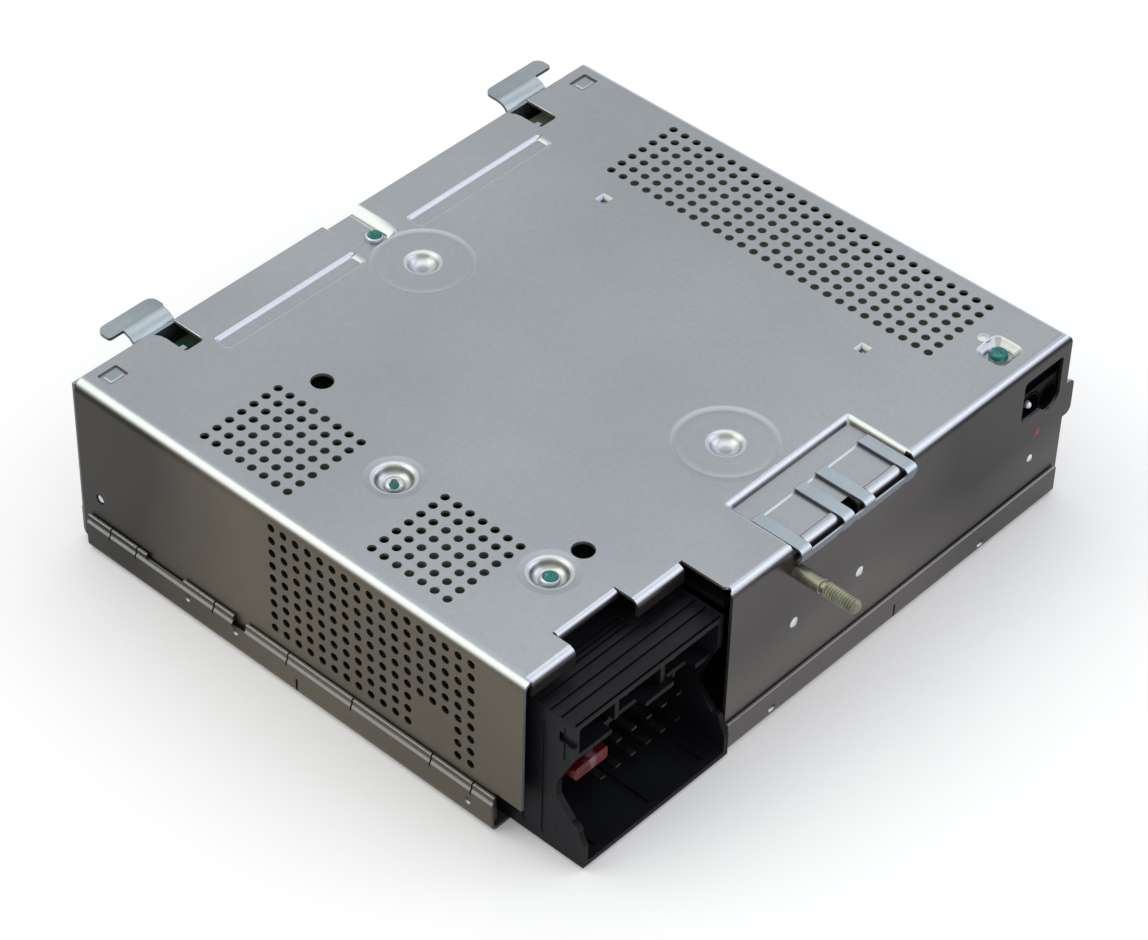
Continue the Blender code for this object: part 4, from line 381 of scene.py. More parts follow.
def makeSheetMetal(name, look):
    # plated sheet: cloudy tone, painted shade on upright faces (a warm painted reflection at the sides) and
    # painted highlights on pressed bends and slopes
    material, tree, shader, place = startMaterial(name)
    cloud = addNoise(tree, place, look["cloud"])
    speck = addNoise(tree, place, look["speck"], 2.0)
    facing, spot = facingOf(tree), splitUp(tree, place)

    def over(output, low, high, first=0, last=1):
        return addRange(tree, output, low, high, first, last)

    def toned(factor, tone):
        return addRamp(tree, factor, (0.32, look[tone][0]), (0.68, look[tone][1]))

    # painted shade: the upright tones drift darker or lighter with place along X, Y and Z
    shadeDriftSide = addMix(tree, 0.6, cloud, over(spot["Y"], 0.062, 0.022, 0.12, 0.78))
    shadeDriftRear = addMix(tree, look["shadeDrift"], cloud, over(spot["X"], 0.055, 0.015, 0.16, 0.80))
    shadeDriftRear = addMix(tree, 0.25, shadeDriftRear, over(spot["Z"], 0.034, 0.010))
    paintedUprightShade = addMix(tree, over(facing["X"], -0.4, -0.8), toned(shadeDriftRear, "wall"), toned(shadeDriftSide, "side"))
    # painted highlight: bends and slopes take a pale tone by their steepness, with another tint where they
    # face left
    paintedSlopeHighlight = addMix(tree, over(facing["X"], 0.0, -0.3), look["bendHighlight"], look["bendHighlightLeft"])
    paintedBendTone = addMix(tree, over(facing["Z"], *look["steep"]), paintedUprightShade, paintedSlopeHighlight)
    tone = addMix(tree, over(facing["Z"], 0.955, 0.998), paintedBendTone, toned(cloud, "top"))
    if look["pierced"]:
        # painted highlights on the cut edges round the openings in the top and at the left wall's rear end,
        # and painted shade in the side vents
        openings = (over(facing["Z"], 0.35, 0.2), over(spot["Z"], 0.05055, 0.05065),
                    over(spot["X"], -0.0886, -0.0884))
        vents = (over(facing["X"], -0.9, -0.7), over(spot["X"], -0.0890, -0.0896),
                 over(spot["Z"], 0.0486, 0.0482))
        wallEnd = (over(facing["Y"], -0.5, -0.7), over(spot["X"], -0.0888, -0.0890),
                   over(spot["Y"], -0.0679, -0.0677), over(spot["Y"], -0.0670, -0.0672))
        for factors, edge in ((openings, "openingHighlight"), (vents, "ventShade"), (wallEnd, "endHighlight")):
            tone = addMix(tree, addMath(tree, "MULTIPLY", *factors), tone, look[edge])
    grain = addRamp(tree, speck, (0.35, (0.95, 0.95, 0.95)), (0.65, (1.0, 1.0, 1.0)))
    feed(tree, shader, {"Base Color": addMix(tree, 1.0, tone, grain, "MULTIPLY"), "Metallic": look["metal"],
                        "Roughness": over(cloud, 0.3, 0.7, *look["rough"])})
    addBump(tree, shader, speck, 0.2, look["bump"])
    return material


def makeMetal(name, low, high, size, metal, rough, bump, stretch=(1, 1, 1)):
    material, tree, shader, place = startMaterial(name)
    cloud = addNoise(tree, place, size, 3.0, stretch)
    feed(tree, shader, {"Base Color": addRamp(tree, cloud, (0.32, low), (0.70, high)), "Metallic": metal,
                        "Roughness": addRange(tree, cloud, 0.3, 0.7, *rough)})
    addBump(tree, shader, cloud, 0.3, bump)
    return material


def makePlastic(name, low, high, size, rough, bump, gloss, rim=None):
    # moulded plastic: faint cloudy tone, a fine spark-eroded texture and, where given, painted shade on faces
    # turned to the rear
    material, tree, shader, place = startMaterial(name)
    pits = addNoise(tree, place, size, 2.0)
    tone = addRamp(tree, addNoise(tree, place, 90.0), (0.30, low), (0.72, high))
    if rim:
        # painted shade: faces turned to the rear take the darker tone
        tone = addMix(tree, addRange(tree, facingOf(tree)["Y"], -0.6, -0.9), tone, rim)
    feed(tree, shader, {"Base Color": tone, "Roughness": addRange(tree, pits, 0.3, 0.7, *rough),
                        "Specular IOR Level": gloss})
    addBump(tree, shader, pits, 0.35, bump)
    return material


# in these looks, the wall and side tones are painted shade on upright faces, and the bend, opening and end
# highlights are painted highlights
coverLook = {
    "top": ((0.270, 0.290, 0.312), (0.315, 0.336, 0.358)),
    "wall": ((0.018, 0.015, 0.015), (0.122, 0.108, 0.104)),
    "side": ((0.024, 0.020, 0.015), (0.120, 0.102, 0.072)), "bendHighlight": (0.50, 0.53, 0.60),
    "bendHighlightLeft": (0.48, 0.51, 0.49), "steep": (0.42, 0.86), "cloud": 11.0, "speck": 900.0, "metal": 0.75,
    "rough": (0.27, 0.32), "bump": 0.006, "shadeDrift": 0.55, "pierced": True, "openingHighlight": (0.34, 0.33, 0.29),
    "ventShade": (0.045, 0.040, 0.032), "endHighlight": (0.40, 0.40, 0.50),
}
trayLook = dict(coverLook, top=((0.20, 0.20, 0.19), (0.28, 0.28, 0.27)), bendHighlight=(0.34, 0.35, 0.36),
                bendHighlightLeft=(0.27, 0.275, 0.265), steep=(0.15, 0.55), cloud=30.0, rough=(0.28, 0.36),
                pierced=False)
hookLook = {
    "top": ((0.22, 0.260, 0.285), (0.275, 0.32, 0.345)), "wall": ((0.12, 0.13, 0.14), (0.18, 0.19, 0.20)),
    "side": ((0.12, 0.13, 0.14), (0.18, 0.19, 0.20)), "bendHighlight": (0.34, 0.39, 0.43),
    "bendHighlightLeft": (0.34, 0.39, 0.43), "steep": (0.10, 0.55), "cloud": 40.0, "speck": 700.0, "metal": 0.6,
    "rough": (0.27, 0.33), "bump": 0.006, "shadeDrift": 0.0, "pierced": False,
}
clipLook = dict(hookLook, top=((0.28, 0.33, 0.37), (0.34, 0.40, 0.44)), bendHighlight=(0.42, 0.48, 0.54),
                wall=((0.14, 0.16, 0.20), (0.21, 0.24, 0.30)))
plateMetal = makeSheetMetal("platedSheet", coverLook)
trayMetal = makeSheetMetal("traySheet", trayLook)
hookMetal = makeSheetMetal("blueZincSheet", hookLook)
clipMetal = makeSheetMetal("springSheet", clipLook)
metals = {
    # dark and pale tone, size of the clouds, metal, roughness, depth of the bump
    "tinnedContact": ((0.30, 0.29, 0.27), (0.50, 0.49, 0.46), 300.0, 0.8, (0.22, 0.35), 0.01),
    # painted shade: the tinned blades are coloured near black, for the shade inside the plug's mouth
    "shadedBladeContact": ((0.022, 0.017, 0.014), (0.050, 0.040, 0.034), 400.0, 0.7, (0.28, 0.4), 0.01),
    "yellowZinc": ((0.125, 0.125, 0.082), (0.25, 0.255, 0.185), 260.0, 0.7, (0.25, 0.40), 0.02),
    "brightZinc": ((0.42, 0.44, 0.46), (0.62, 0.64, 0.66), 500.0, 0.6, (0.22, 0.36), 0.01),
    # partly painted highlight: rivet metal, pale enough that the flange's holes read lit inside
    "rivetAndHoleHighlight": ((0.62, 0.65, 0.70), (0.80, 0.82, 0.86), 500.0, 0.35, (0.3, 0.4), 0.005),
    "postBrass": ((0.42, 0.31, 0.12), (0.58, 0.45, 0.20), 300.0, 0.8, (0.25, 0.38), 0.01),
    "sinkAluminium": ((0.36, 0.36, 0.37), (0.50, 0.50, 0.51), 160.0, 0.7, (0.35, 0.5), 0.03, (1, 8, 1)),
}
plastics = {
    # dark and pale tone, size of the pits, roughness, depth of the bump, gloss, and for the black moulding
    # the painted shade of rear faces
    "blackMoulding": ((0.0060, 0.0065, 0.0085), (0.012, 0.013, 0.017), 1400.0, (0.34, 0.48), 0.02, 0.10,
                      (0.002, 0.002, 0.0025)),
    "socketMoulding": ((0.0025, 0.0025, 0.0035), (0.0045, 0.0045, 0.006), 1400.0, (0.40, 0.55), 0.01, 0.03),
    "chipMoulding": ((0.014, 0.014, 0.015), (0.030, 0.030, 0.032), 2400.0, (0.5, 0.65), 0.02, 0.3),
    "capacitorSleeve": ((0.012, 0.016, 0.050), (0.022, 0.030, 0.085), 900.0, (0.25, 0.38), 0.01, 0.4),
}
tinMetal, shadedBladeMetal, studMetal, brightMetal, rivetAndHoleHighlightMetal, postMetal, sinkMetal = [
    makeMetal(name, *look) for name, look in metals.items()]
blackPlastic, socketPlastic, chipBlack, sleeve = [makePlastic(name, *look) for name, look in plastics.items()]
print("materials ready")

# cover: one folded sheet with its bends, lips, pressings and vents
cover = {
    "left": -91.0, "right": 91.0, "rear": -81.1, "front": 80.3, "foot": 2.2, "top": 51.5, "sheet": 0.8,
    "bend": 2.6, "bendLeft": 3.3,
    "cuts": (((-95, -85, -1), (-36.35, -67.4, 60)), ((-88.4, -70, 48.4), (-36.36, -65.4, 55)),
             ((-74.2, -70, 48.4), (-53.5, -60.3, 55)), ((-95, -70, -1), (-85, -59.0, 11.5)),
             ((88, -80.3, -1), (95, -79.9, 48.6))),
    "lips": ((-88.35, -74.2, -67.6, 46.8, 2.2), (-53.5, -37.6, -67.6, 46.8, 2.2),
             (-73.6, -53.9, -61.9, 49.7, 1.6)), "ear": (89.4, 30.0), "earSize": (9.6, 11.0), "earCorner": 2.0,
    "screwDimples": ((-61.85, 1.4), (-60.05, -46.4)), "ringCups": ((-0.15, 52.4), (1.05, -46.3)),
    "pockets": (((-1.65, 75.0), (9.9, 17.5)), ((73.1, -71.9), (7.4, 7.0))), "pocketFloor": 49.5,
    "pocketWall": 1.6, "bump": (74.4, -66.0), "grooves": ((-57.0, -9.4), (9.2, 58.4)), "grooveMiddle": 65.3,
    "grooveWidth": 3.4, "clipPocket": (-15.6, 29.6, -60.0), "clipDepth": 1.8, "clipStepDepth": 2.22,
    "clipBendDrop": 2.16, "rolls": ((-10.1, 1.0), (13.0, 24.1)), "rollDrop": 1.5, "rollFoot": 46.4,
    "clipWindow": ((5.3, -90, 45.2), (8.9, -77.5, 60)), "hookSlots": ((-61.6, 6.0), (64.1, 6.2)),
    "tabWindows": ((-82.7, 75.45, 5.8, 4.3), (83.25, 74.8, 5.9, 4.4)), "reliefHole": (-36.4, -79.3),
    "reliefSize": 1.9, "slotCorners": (-64.6, 61.0), "slotTab": 70.2, "softEdges": (-58.6, 67.2),
    "locatingHoles": ((-49.45, 37.9), (-49.45, -47.0)), "locatingSize": 5.6,
    "pits": ((50.25, 37.4), (50.55, -47.5)),
    "ventFields": ((60.45, 44.1, 7, 27), (-82.55, 43.6, 7, 8), (-82.55, -11.9, 7, 7)), "ventPitch": 4.0,
    "ventRadius": 1.12, "sideVent": (12.6, 47.5), "sideFields": ((17, 6, 0, 0), (12, 3, 0, 6), (2, 3, 15, 6)),
    "flangeHoles": ((-12.7, 25.7), (11.5, 25.6)), "flangeHoleSize": 3.1, "aerialOpening": (15.4, 12.8),
    "aerialPlace": (80.3, -79.3, 39.9), "aerialLobe": 7.8, "lobePlace": (84.2, -79.3, 35.2), "sideHole": 2.8,
    "sidePlace": (-89.2, 73.9, 17.4),
}
left, rear, top, sheet = cover["left"], cover["rear"], cover["top"], cover["sheet"]
under = top - sheet

coverSheet = addSlab("coverSheet", (left, rear, cover["foot"]), (cover["right"], cover["front"], top))
pick(coverSheet, lambda face: face.normal.z < -0.9 or face.normal.y > 0.9)
bpy.ops.mesh.delete(type="FACE")
bevelEdges(coverSheet, lambda edge: all(end.co.z > (top - 0.1) * mm for end in edge.verts)
           and not all(end.co.y > (cover["front"] - 0.1) * mm for end in edge.verts), cover["bend"], 7)
# the left bend is wider than the others
reach = cover["bend"] + 0.1
pick(coverSheet, lambda vert: vert.co.x < (left + reach) * mm and vert.co.z > (top - reach) * mm
     and vert.co.y > (rear + cover["bend"] - 0.1) * mm, "VERT")
widen = cover["bendLeft"] / cover["bend"]
bpy.ops.transform.resize(value=(widen, 1, widen), center_override=(left * mm, 0, top * mm))
bpy.ops.object.mode_set(mode="OBJECT")
thicken(coverSheet, sheet)

cut(coverSheet, *addSlabs("edgeCut", cover["cuts"]))
for lipStart, lipEnd, edge, hang, radius in cover["lips"]:
    weld(coverSheet, foldStrip("lip", ((edge + radius + 0.5, top), (edge, top), (edge, hang)), (radius,), 0,
                               (lipStart, lipEnd), sheet))
earX, earZ = cover["ear"]
weld(coverSheet, drawUp("ear", cover["earSize"], ((0, 0), (sheet, 0)), (earX, rear + sheet, earZ),
                        cover["earCorner"], (90, 0, 0)))
print("cover sheet folded")

# pressings: a body is added under the sheet, and the pressed form is then cut into both
cupOutline = ((0, under - 2.55), (5.0, under - 2.55), (5.9, under - 2.2), (6.5, under - 1.2),
              (6.9, under + 0.3), (0, under + 0.3))
dimpleOutline = ((0, 48.95), (2.45, 48.95), (3.0, 49.02), (3.5, 49.25), (3.95, 49.65), (4.3, 50.15),
                 (4.6, 50.65), (4.9, 50.98), (5.35, 51.22), (5.9, 51.36), (6.4, 51.36), (6.9, 51.42),
                 (7.4, 51.47), (7.7, 51.5), (7.8, 51.6), (7.8, 52.6), (0, 52.6))
ringCupOutline = ((0, under - 2.1), (3.7, under - 2.1), (4.6, under - 1.7), (5.3, under - 0.6),
                  (5.6, under + 0.3), (0, under + 0.3))
ringOutline = ((0, 49.2), (1.1, 49.24), (2.2, 49.48), (3.0, 49.9), (3.5, 50.35), (3.85, 50.8), (4.2, 51.08),
               (4.7, 51.28), (5.3, 51.44), (6.2, 51.29), (7.1, 51.43), (8.0, 51.28), (8.9, 51.42),
               (9.8, 51.28), (10.7, 51.41), (11.6, 51.25), (12.4, 51.25), (13.2, 51.43), (13.8, 51.5),
               (13.9, 51.6), (13.9, 52.6), (0, 52.6))
for x, y in cover["screwDimples"]:
    weld(coverSheet, spinUp("cupBody", cupOutline, (x, y, 0)))
    cut(coverSheet, spinUp("dimpleForm", dimpleOutline, (x, y, 0), steps=56))
for x, y in cover["ringCups"]:
    weld(coverSheet, spinUp("ringBody", ringCupOutline, (x, y, 0)))
    cut(coverSheet, spinUp("ringForm", ringOutline, (x, y, 0), steps=72))

pocketRise = ((0, 0), (0.2, 0.15), (0.8, 0.78), (1.4, 1.38), (1.8, 1.7), (2.03, 2.05), (2.6, 2.15))
bodyRise = ((0, 0), (0.3, 0.25), (1.6, 1.2), (2.4, 1.5))
pocketFloor, pocketWall = cover["pocketFloor"], cover["pocketWall"]
for middle, size in cover["pockets"]:
    weld(coverSheet, drawUp("pocketBody", size, bodyRise, (*middle, pocketFloor - sheet), pocketWall))
    formSize = (size[0] - pocketWall, size[1] - pocketWall)
    cut(coverSheet, drawUp("pocketForm", formSize, pocketRise, (*middle, pocketFloor), 1.3))
# the front pocket slopes up on its right and is open at the front
cut(coverSheet, drawPrism("pocketSlope", ((1.95, 49.4), (5.6, 51.62), (1.95, 51.62)), 1, (66.6, 90)),
    addSlab("frontTrim", (-20, cover["front"], 45), (20, 90, 55)))
# a small raised bump in front of the rear pocket
bumpOutline = ((0, 51.0), (1.75, 51.0), (1.75, 51.46), (1.6, 51.53), (0.25, 51.96), (0, 51.98))
weld(coverSheet, spinUp("bump", bumpOutline, (*cover["bump"], 0), steps=24))

# grooves along the front edge, each with a slope at its right end
grooveRise = ((0, 0), (0.12, 0.12), (0.62, 0.62), (0.78, 1.05), (0.82, 1.2), (1.3, 1.25))
for start, end in cover["grooves"]:
    size, middle = (end - start - 2.4, cover["grooveWidth"]), ((start + end) / 2, cover["grooveMiddle"])
    weld(coverSheet,
         drawUp("grooveBody", (size[0] + 1, size[1] + 1), ((0, 0), (1.2, 1.0)), (*middle, under - 0.8), 0.8))
    cut(coverSheet, drawUp("grooveForm", size, grooveRise, (*middle, top - 0.8), 0.7),
        drawPrism("grooveSlope", ((end - 1.6, 50.73), (end + 0.9, 51.56), (end - 1.6, 51.56)), 1,
                  (63.5, 67.1)))

# clip pocket with a second shallow step, its lowered rear bend and the window in it
pocketLeft, pocketRight, pocketFront = cover["clipPocket"]
pocketMiddle, pocketWidth = (pocketLeft + pocketRight) / 2, pocketRight - pocketLeft
clipRise = ((0, 0), (0.15, 0.12), (0.9, 0.45), (1.3, 0.85), (1.6, 1.3), (1.82, 1.8), (2.5, 1.9))
weld(coverSheet, drawUp("clipBody", (pocketWidth - 1.0, 17.5), bodyRise,
                        (pocketMiddle, pocketFront - 9.25, under - 2.05), 0.9))
cut(coverSheet,
    drawUp("clipForm", (pocketWidth - 3.0, 30.0), clipRise,
           (pocketMiddle, pocketFront - 15.0 - 1.5, top - cover["clipDepth"]), 0.8),
    drawUp("clipStep", (pocketWidth - 5.2, 26.0), ((0, 0), (0.45, 0.45), (0.7, 0.7)),
           (pocketMiddle, -81.0, top - cover["clipStepDepth"]), 0.5),
    addSlab("clipRear", (pocketLeft + 0.5, -90, 40.0), (pocketRight - 0.5, -78.4, 60)))
bendTop = top - cover["clipBendDrop"]
weld(coverSheet, foldStrip("clipBend", ((-77.9, bendTop), (rear, bendTop), (rear, 39.5)), (2.1,), 0,
                           (pocketLeft + 0.5, pocketRight - 0.5), sheet))
rollTop, rollRear = top - cover["rollDrop"], rear - 0.25
for start, end in cover["rolls"]:
    # the raised roll between the clip's fingers
    weld(coverSheet, foldStrip("roll", ((-78.7, rollTop), (rollRear, rollTop), (rollRear, cover["rollFoot"])),
                               (1.9,), 0, (start, end), 0.9))
    cut(coverSheet, addSlab("rollGap", (start + 0.4, -78.65, 47.0), (end - 0.4, -78.15, 52)))
cut(coverSheet, addSlab("clipWindow", *cover["clipWindow"]))
print("pressings done")

# slots and windows along the front edge, plain holes, the relief hole and two small pits
for x, width in cover["hookSlots"]:
    cut(coverSheet, drawUp("hookSlot", (width, 16.0), ((0, 0), (4, 0)), (x, 77.4, 49.0), 0.9))
for x, y, width, depth in cover["tabWindows"]:
    cut(coverSheet, drawUp("tabWindow", (width, depth), ((0, 0), (2.2, 0), (2.9, 0.35)), (x, y, 49.0), 0.4))
cut(coverSheet,
    drawRound("reliefHole", cover["reliefSize"], ((0, 0), (4, 0)), (*cover["reliefHole"], 48.5), sides=16))
for x in cover["slotCorners"]:
    # the cover's rounded corner beside the slot, and a small tab at the slot's end
    cornerOutline = ((x + 1, 76), (x, 76.2), (x - 0.3, 78), (x - 1.1, 79.3), (x - 2.6, 80.1), (x - 3.8, 80.4),
                     (x - 3.8, 81), (x + 1, 81))
    cut(coverSheet, drawPrism("slotCorner", cornerOutline, 2, (49, 53)))
    weld(coverSheet,
         addSlab("slotTab", (x - 0.4, cover["slotTab"], 50.75), (x + 1.3, cover["slotTab"] + 1.5, 51.45)))
for x in cover["softEdges"]:
    bevelEdges(coverSheet, edgeAt(x=(x - 0.02, x + 0.02), y=(70, 80.4), z=(51.45, 51.55)), 0.35, 2)
for x, y in cover["locatingHoles"]:
    cut(coverSheet, drawRound("locatingHole", cover["locatingSize"],
                              ((0, 0), (2.3, 0), (2.5, 0.12), (3.2, 0.2)), (x, y, 49.0), sides=36))
pitBody = ((49.25, -1.0), (49.9, -0.45), (50.5, -0.2), (51.1, 0.6))
pitForm = ((49.75, -1.45), (50.2, -0.98), (50.75, -0.76), (51.9, 0.4), (52.6, 0.45))
for x, y in cover["pits"]:
    # a small square pit, pressed down in two steps
    weld(coverSheet, drawUp("pitBody", (3.3, 3.3), pitBody, (x, y, 0), 0))
    cut(coverSheet, drawUp("pitForm", (3.3, 3.3), pitForm, (x, y, 0), 0))

ventSize = 2 * cover["ventRadius"]
ventRise = ((0, 0), (2.0, 0), (2.2, 0.06), (2.7, 0.1))
ventForm = drawRound("ventForm", ventSize, ventRise, (0, 0, 49.3), sides=12)
pitch = cover["ventPitch"]
for x, y, columns, rows in cover["ventFields"]:
    field = copyTo(ventForm, "ventField", (x, y, 0))
    cut(coverSheet, repeat(field, (columns, rows), ((pitch, 0, 0), (0, -pitch, 0))))
bpy.data.objects.remove(ventForm)
sideVent = drawRound("sideVent", ventSize, ventRise, (0, 0, 0), turn=(0, -90, 0), sides=12)
ventFront, ventTop = cover["sideVent"]
for columns, rows, column, row in cover["sideFields"]:
    field = copyTo(sideVent, "sideField", (-88.8, ventFront - column * pitch, ventTop - row * pitch))
    cut(coverSheet, repeat(field, (columns, rows), ((0, -pitch, 0), (0, 0, -pitch))))
bpy.data.objects.remove(sideVent)
print("vents cut")

# rear flange: peened holes and the aerial opening; left wall: a rivet hole and its rounded cut end, which the
# material gives a painted highlight
for x, z in cover["flangeHoles"]:
    cut(coverSheet, drawRound("flangeHole", cover["flangeHoleSize"], ((0, 0), (2, 0)), (x, rear + 1.4, z),
                              turn=(90, 0, 0), sides=24))
through = ((0, 0), (3, 0))
cut(coverSheet,
    drawUp("aerialOpening", cover["aerialOpening"], through, cover["aerialPlace"], 1.2, (90, 0, 0)),
    drawRound("aerialLobe", cover["aerialLobe"], through, cover["lobePlace"], (90, 0, 0)),
    drawRound("sideHole", cover["sideHole"], through, cover["sidePlace"], (0, -90, 0), 24))
bevelEdges(coverSheet, edgeAt(x=(-91.02, -90.98), y=(-67.42, -67.38), z=(2, 48)), 0.3, 2)
dress(coverSheet, plateMetal, "tuner_box", "plated_steel", "top_cover")
print("cover done", len(coverSheet.data.polygons))

# tray: floor with joggled side lips, cut into fingers, and plain end lips
tray = {
    "wall": 92.7, "lip": 92.1, "sides": (-79.0, 77.7), "sheet": 0.8, "joggle": 1.1, "bend": 2.2,
    "rear": -82.2, "front": 82.6, "lipTop": 9.3, "rearLip": (-36.35, 89.8), "frontLip": (-89.8, 89.8),
    "corner": (-36.4, -59.7, 12), "beads": (-64, -32, 32, 64), "beadSize": (8, 5, 104, 2.4),
    "feet": ((-79, 64.5), (79, 64.5), (79, -64.5)), "footSize": (7, 7, 3.4), "coolingSlot": (2.2, 14.0),
    "slotStart": (-17.5, 38, 0), "slotCounts": (6, 4), "slotSteps": ((7, 0, 0), (0, -20, 0)),
    "slits": (69.5, 60.2, 32.8, 7.5, -14.1, -39.9, -52.9), "slitFoot": 7.6, "lowStretch": (43.7, 56.8, 9.4),
    "lipGap": (-92.0, 24.0, 7.9), "gapSize": (4.0, 4.4),
    "wallSlots": (((-94, 3.65, -1), (-91.5, 4.35, 5.5)), ((25.35, -84, -1), (26.05, -80.5, 5.5))),
    "leftTabs": ((41.6, 7.0), (24.9, 7.0), (-52.2, 5.4)), "rearTabs": ((-20.2, 3.5), (59.7, 3.1)),
    "tabDepth": 0.45,
}
wall, lip, sheet, joggle, bend = tray["wall"], tray["lip"], tray["sheet"], tray["joggle"], tray["bend"]
rear, front, lipTop = tray["rear"], tray["front"], tray["lipTop"]
crossLine = ((-lip, 10.8), (-lip, 9.4), (-wall, 8.6), (-wall, 0), (wall, 0), (wall, 8.6), (lip, 9.4),
             (lip, 10.8))
trayFold = foldStrip("trayFold", crossLine, (joggle, joggle, bend, bend, joggle, joggle), 1, tray["sides"],
                     sheet, 1)
cut(trayFold, addSlab("trayCorner", (-95, -85, -1), tray["corner"]))
weld(trayFold,
     foldStrip("rearLip", ((rear, lipTop), (rear, 0), (-70, 0)), (bend,), 0, tray["rearLip"], sheet),
     foldStrip("frontLip", ((70, 0), (front, 0), (front, lipTop)), (bend,), 0, tray["frontLip"], sheet))
# underside: pressed beads, standing dimples and cooling slots (guessed, as the photograph doesn't show it)
bodies, forms = [], []
beadMiddle, *beadSize = tray["beadSize"]
pressed = [(x, beadMiddle, *beadSize) for x in tray["beads"]]
pressed += [(*foot, *tray["footSize"]) for foot in tray["feet"]]
for x, y, length, width, corner in pressed:
    bodies.append(drawUp("beadBody", (length + 3.0, width + 3.0), ((0.3, 0), (0.74, 0), (1.5, -0.7)),
                         (x, y, 0), corner + 1.2))
    forms.append(drawUp("beadForm", (length, width), ((-1, 1.0), (0.02, 0.9), (0.4, 0.5), (0.75, 0)),
                        (x, y, 0), corner))
slot = drawUp("coolingSlot", tray["coolingSlot"], ((-1, 0), (2, 0)), tray["slotStart"], 1.0)
slots = repeat(slot, tray["slotCounts"], tray["slotSteps"])
weld(trayFold, gather("beadBodies", bodies))
cut(trayFold, gather("beadForms", forms + [slots]))
stretchStart, stretchEnd, stretchTop = tray["lowStretch"]
for side in (-1, 1):
    low, high = sorted((side * 94.0, side * 90.5))
    cut(trayFold, addSlab("lowStretch", (low, stretchStart, stretchTop), (high, stretchEnd, 13)))
    for y in tray["slits"]:
        cut(trayFold,
            drawUp("slit", (4.0, 0.45), ((0, 0), (4.6, 0)), (side * 92.2, y, tray["slitFoot"]), 0.15))
cut(trayFold, drawUp("lipGap", tray["gapSize"], ((0, 0), (5, 0)), tray["lipGap"], 1.0))
for limits in ({"x": (-93, 93), "y": (-82.3, -82.1), "z": (9.2, 9.4)},
               {"x": (-92.2, -92.0), "y": (-60, 80), "z": (10.7, 10.9)}):
    bevelEdges(trayFold, edgeAt(**limits), 0.35, 2)
cut(trayFold, *addSlabs("wallSlot", tray["wallSlots"]))
tabRise = ((0, 0), (0.5, 0.3), (1, 0.5))
for y, z in tray["leftTabs"]:
    # pressed-in locking dimples
    cut(trayFold,
        drawUp("trayDimple", (1.6, 1.2), tabRise, (-wall + tray["tabDepth"], y, z), 0.4, (0, -90, 0)))
for x, z in tray["rearTabs"]:
    cut(trayFold, drawUp("trayDimple", (1.9, 1.3), tabRise, (x, rear + tray["tabDepth"], z), 0.4, (90, 0, 0)))
dress(trayFold, trayMetal, "tuner_box", "tray_steel", "bottom_tray")
print("tray done", len(trayFold.data.polygons))

# hook frame across the front
hook = {
    "left": -90.5, "right": 90.5, "rear": 80.6, "front": 81.5, "foot": 2.2, "top": 50.2, "sheet": 0.9,
    "bend": 2.6, "webs": ((-70.2, -57.0), (61.5, 76.0)), "webFoot": 43.0, "webEnd": 86.4, "webBend": 4.2,
    "tongues": ((-74.7, -56.5), (61.5, 82.2)), "tongueFoot": 51.1, "tongueTop": 52.0,
    "tongueSpan": (85.5, 90.4), "tongueCorners": (((90, 91), 2.3, 5), ((85, 86), 0.9, 4)),
    "coinedLine": (86.9, 51.92), "cornerTabs": ((-88.0, -76.5), (77.5, 88.0)),
    "cornerLine": (46.5, 50.4, 70.0), "tabPlates": ((-82.7, 75.45), (83.25, 74.8)),
    "middleTab": (-6.15, 2.85), "middleLine": (44.0, 48.4, 65.5),
    "pocketGap": ((-8.5, 78, 48.4), (6.2, 84, 55)),
    "flanges": (((-89.9, 69.5, 12.5), (-89.0, 81.0, 42.0)), ((89.0, 69.5, 12.5), (89.9, 81.0, 42.0))),
    "fields": (-46, 46), "fieldHeight": 24.0, "slot": (1.8, 10.0), "slotStart": (-12, 79.0, 26),
    "slotCounts": (7, 1), "slotSteps": ((4, 0, 0), (0, 0, 1)), "hole": 3.2,
    "holes": ((-80, 10), (80, 10), (-80, 40), (24, 42)),
}
front, sheet, bend = hook["front"], hook["sheet"], hook["bend"]
tongueFoot, tongueTop = hook["tongueFoot"], hook["tongueTop"]
tongueRear, tongueFront = hook["tongueSpan"]
hookFrame = addSlab("hookFrame", (hook["left"], hook["rear"], hook["foot"]),
                    (hook["right"], front, hook["top"]))
for span in hook["webs"]:
    webLine = ((front, hook["webFoot"]), (front, tongueFoot), (hook["webEnd"], tongueFoot))
    weld(hookFrame, foldStrip("hookWeb", webLine, (hook["webBend"],), 0, span, sheet, -1, 6))
for left, right in hook["tongues"]:
    tongue = addSlab("tongue", (left, tongueRear, tongueFoot), (right, tongueFront, tongueTop))
    for limits, radius, segments in hook["tongueCorners"]:
        bevelEdges(tongue, lambda edge: edgeAt(y=limits)(edge)
                   and abs(edge.verts[0].co.x - edge.verts[1].co.x) < mm, radius, segments)
    weld(hookFrame, tongue)
    # the coined line along the tongue
    cut(hookFrame, drawUp("coinedLine", (right - left - 7.0, 0.5), ((0, 0), (0.09, 0.35), (0.5, 0.6)),
                          ((left + right) / 2, *hook["coinedLine"]), 0.2))
foot, height, end = hook["cornerLine"]
for span in hook["cornerTabs"]:
    weld(hookFrame,
         foldStrip("cornerTab", ((front, foot), (front, height), (end, height)), (bend,), 0, span, sheet))
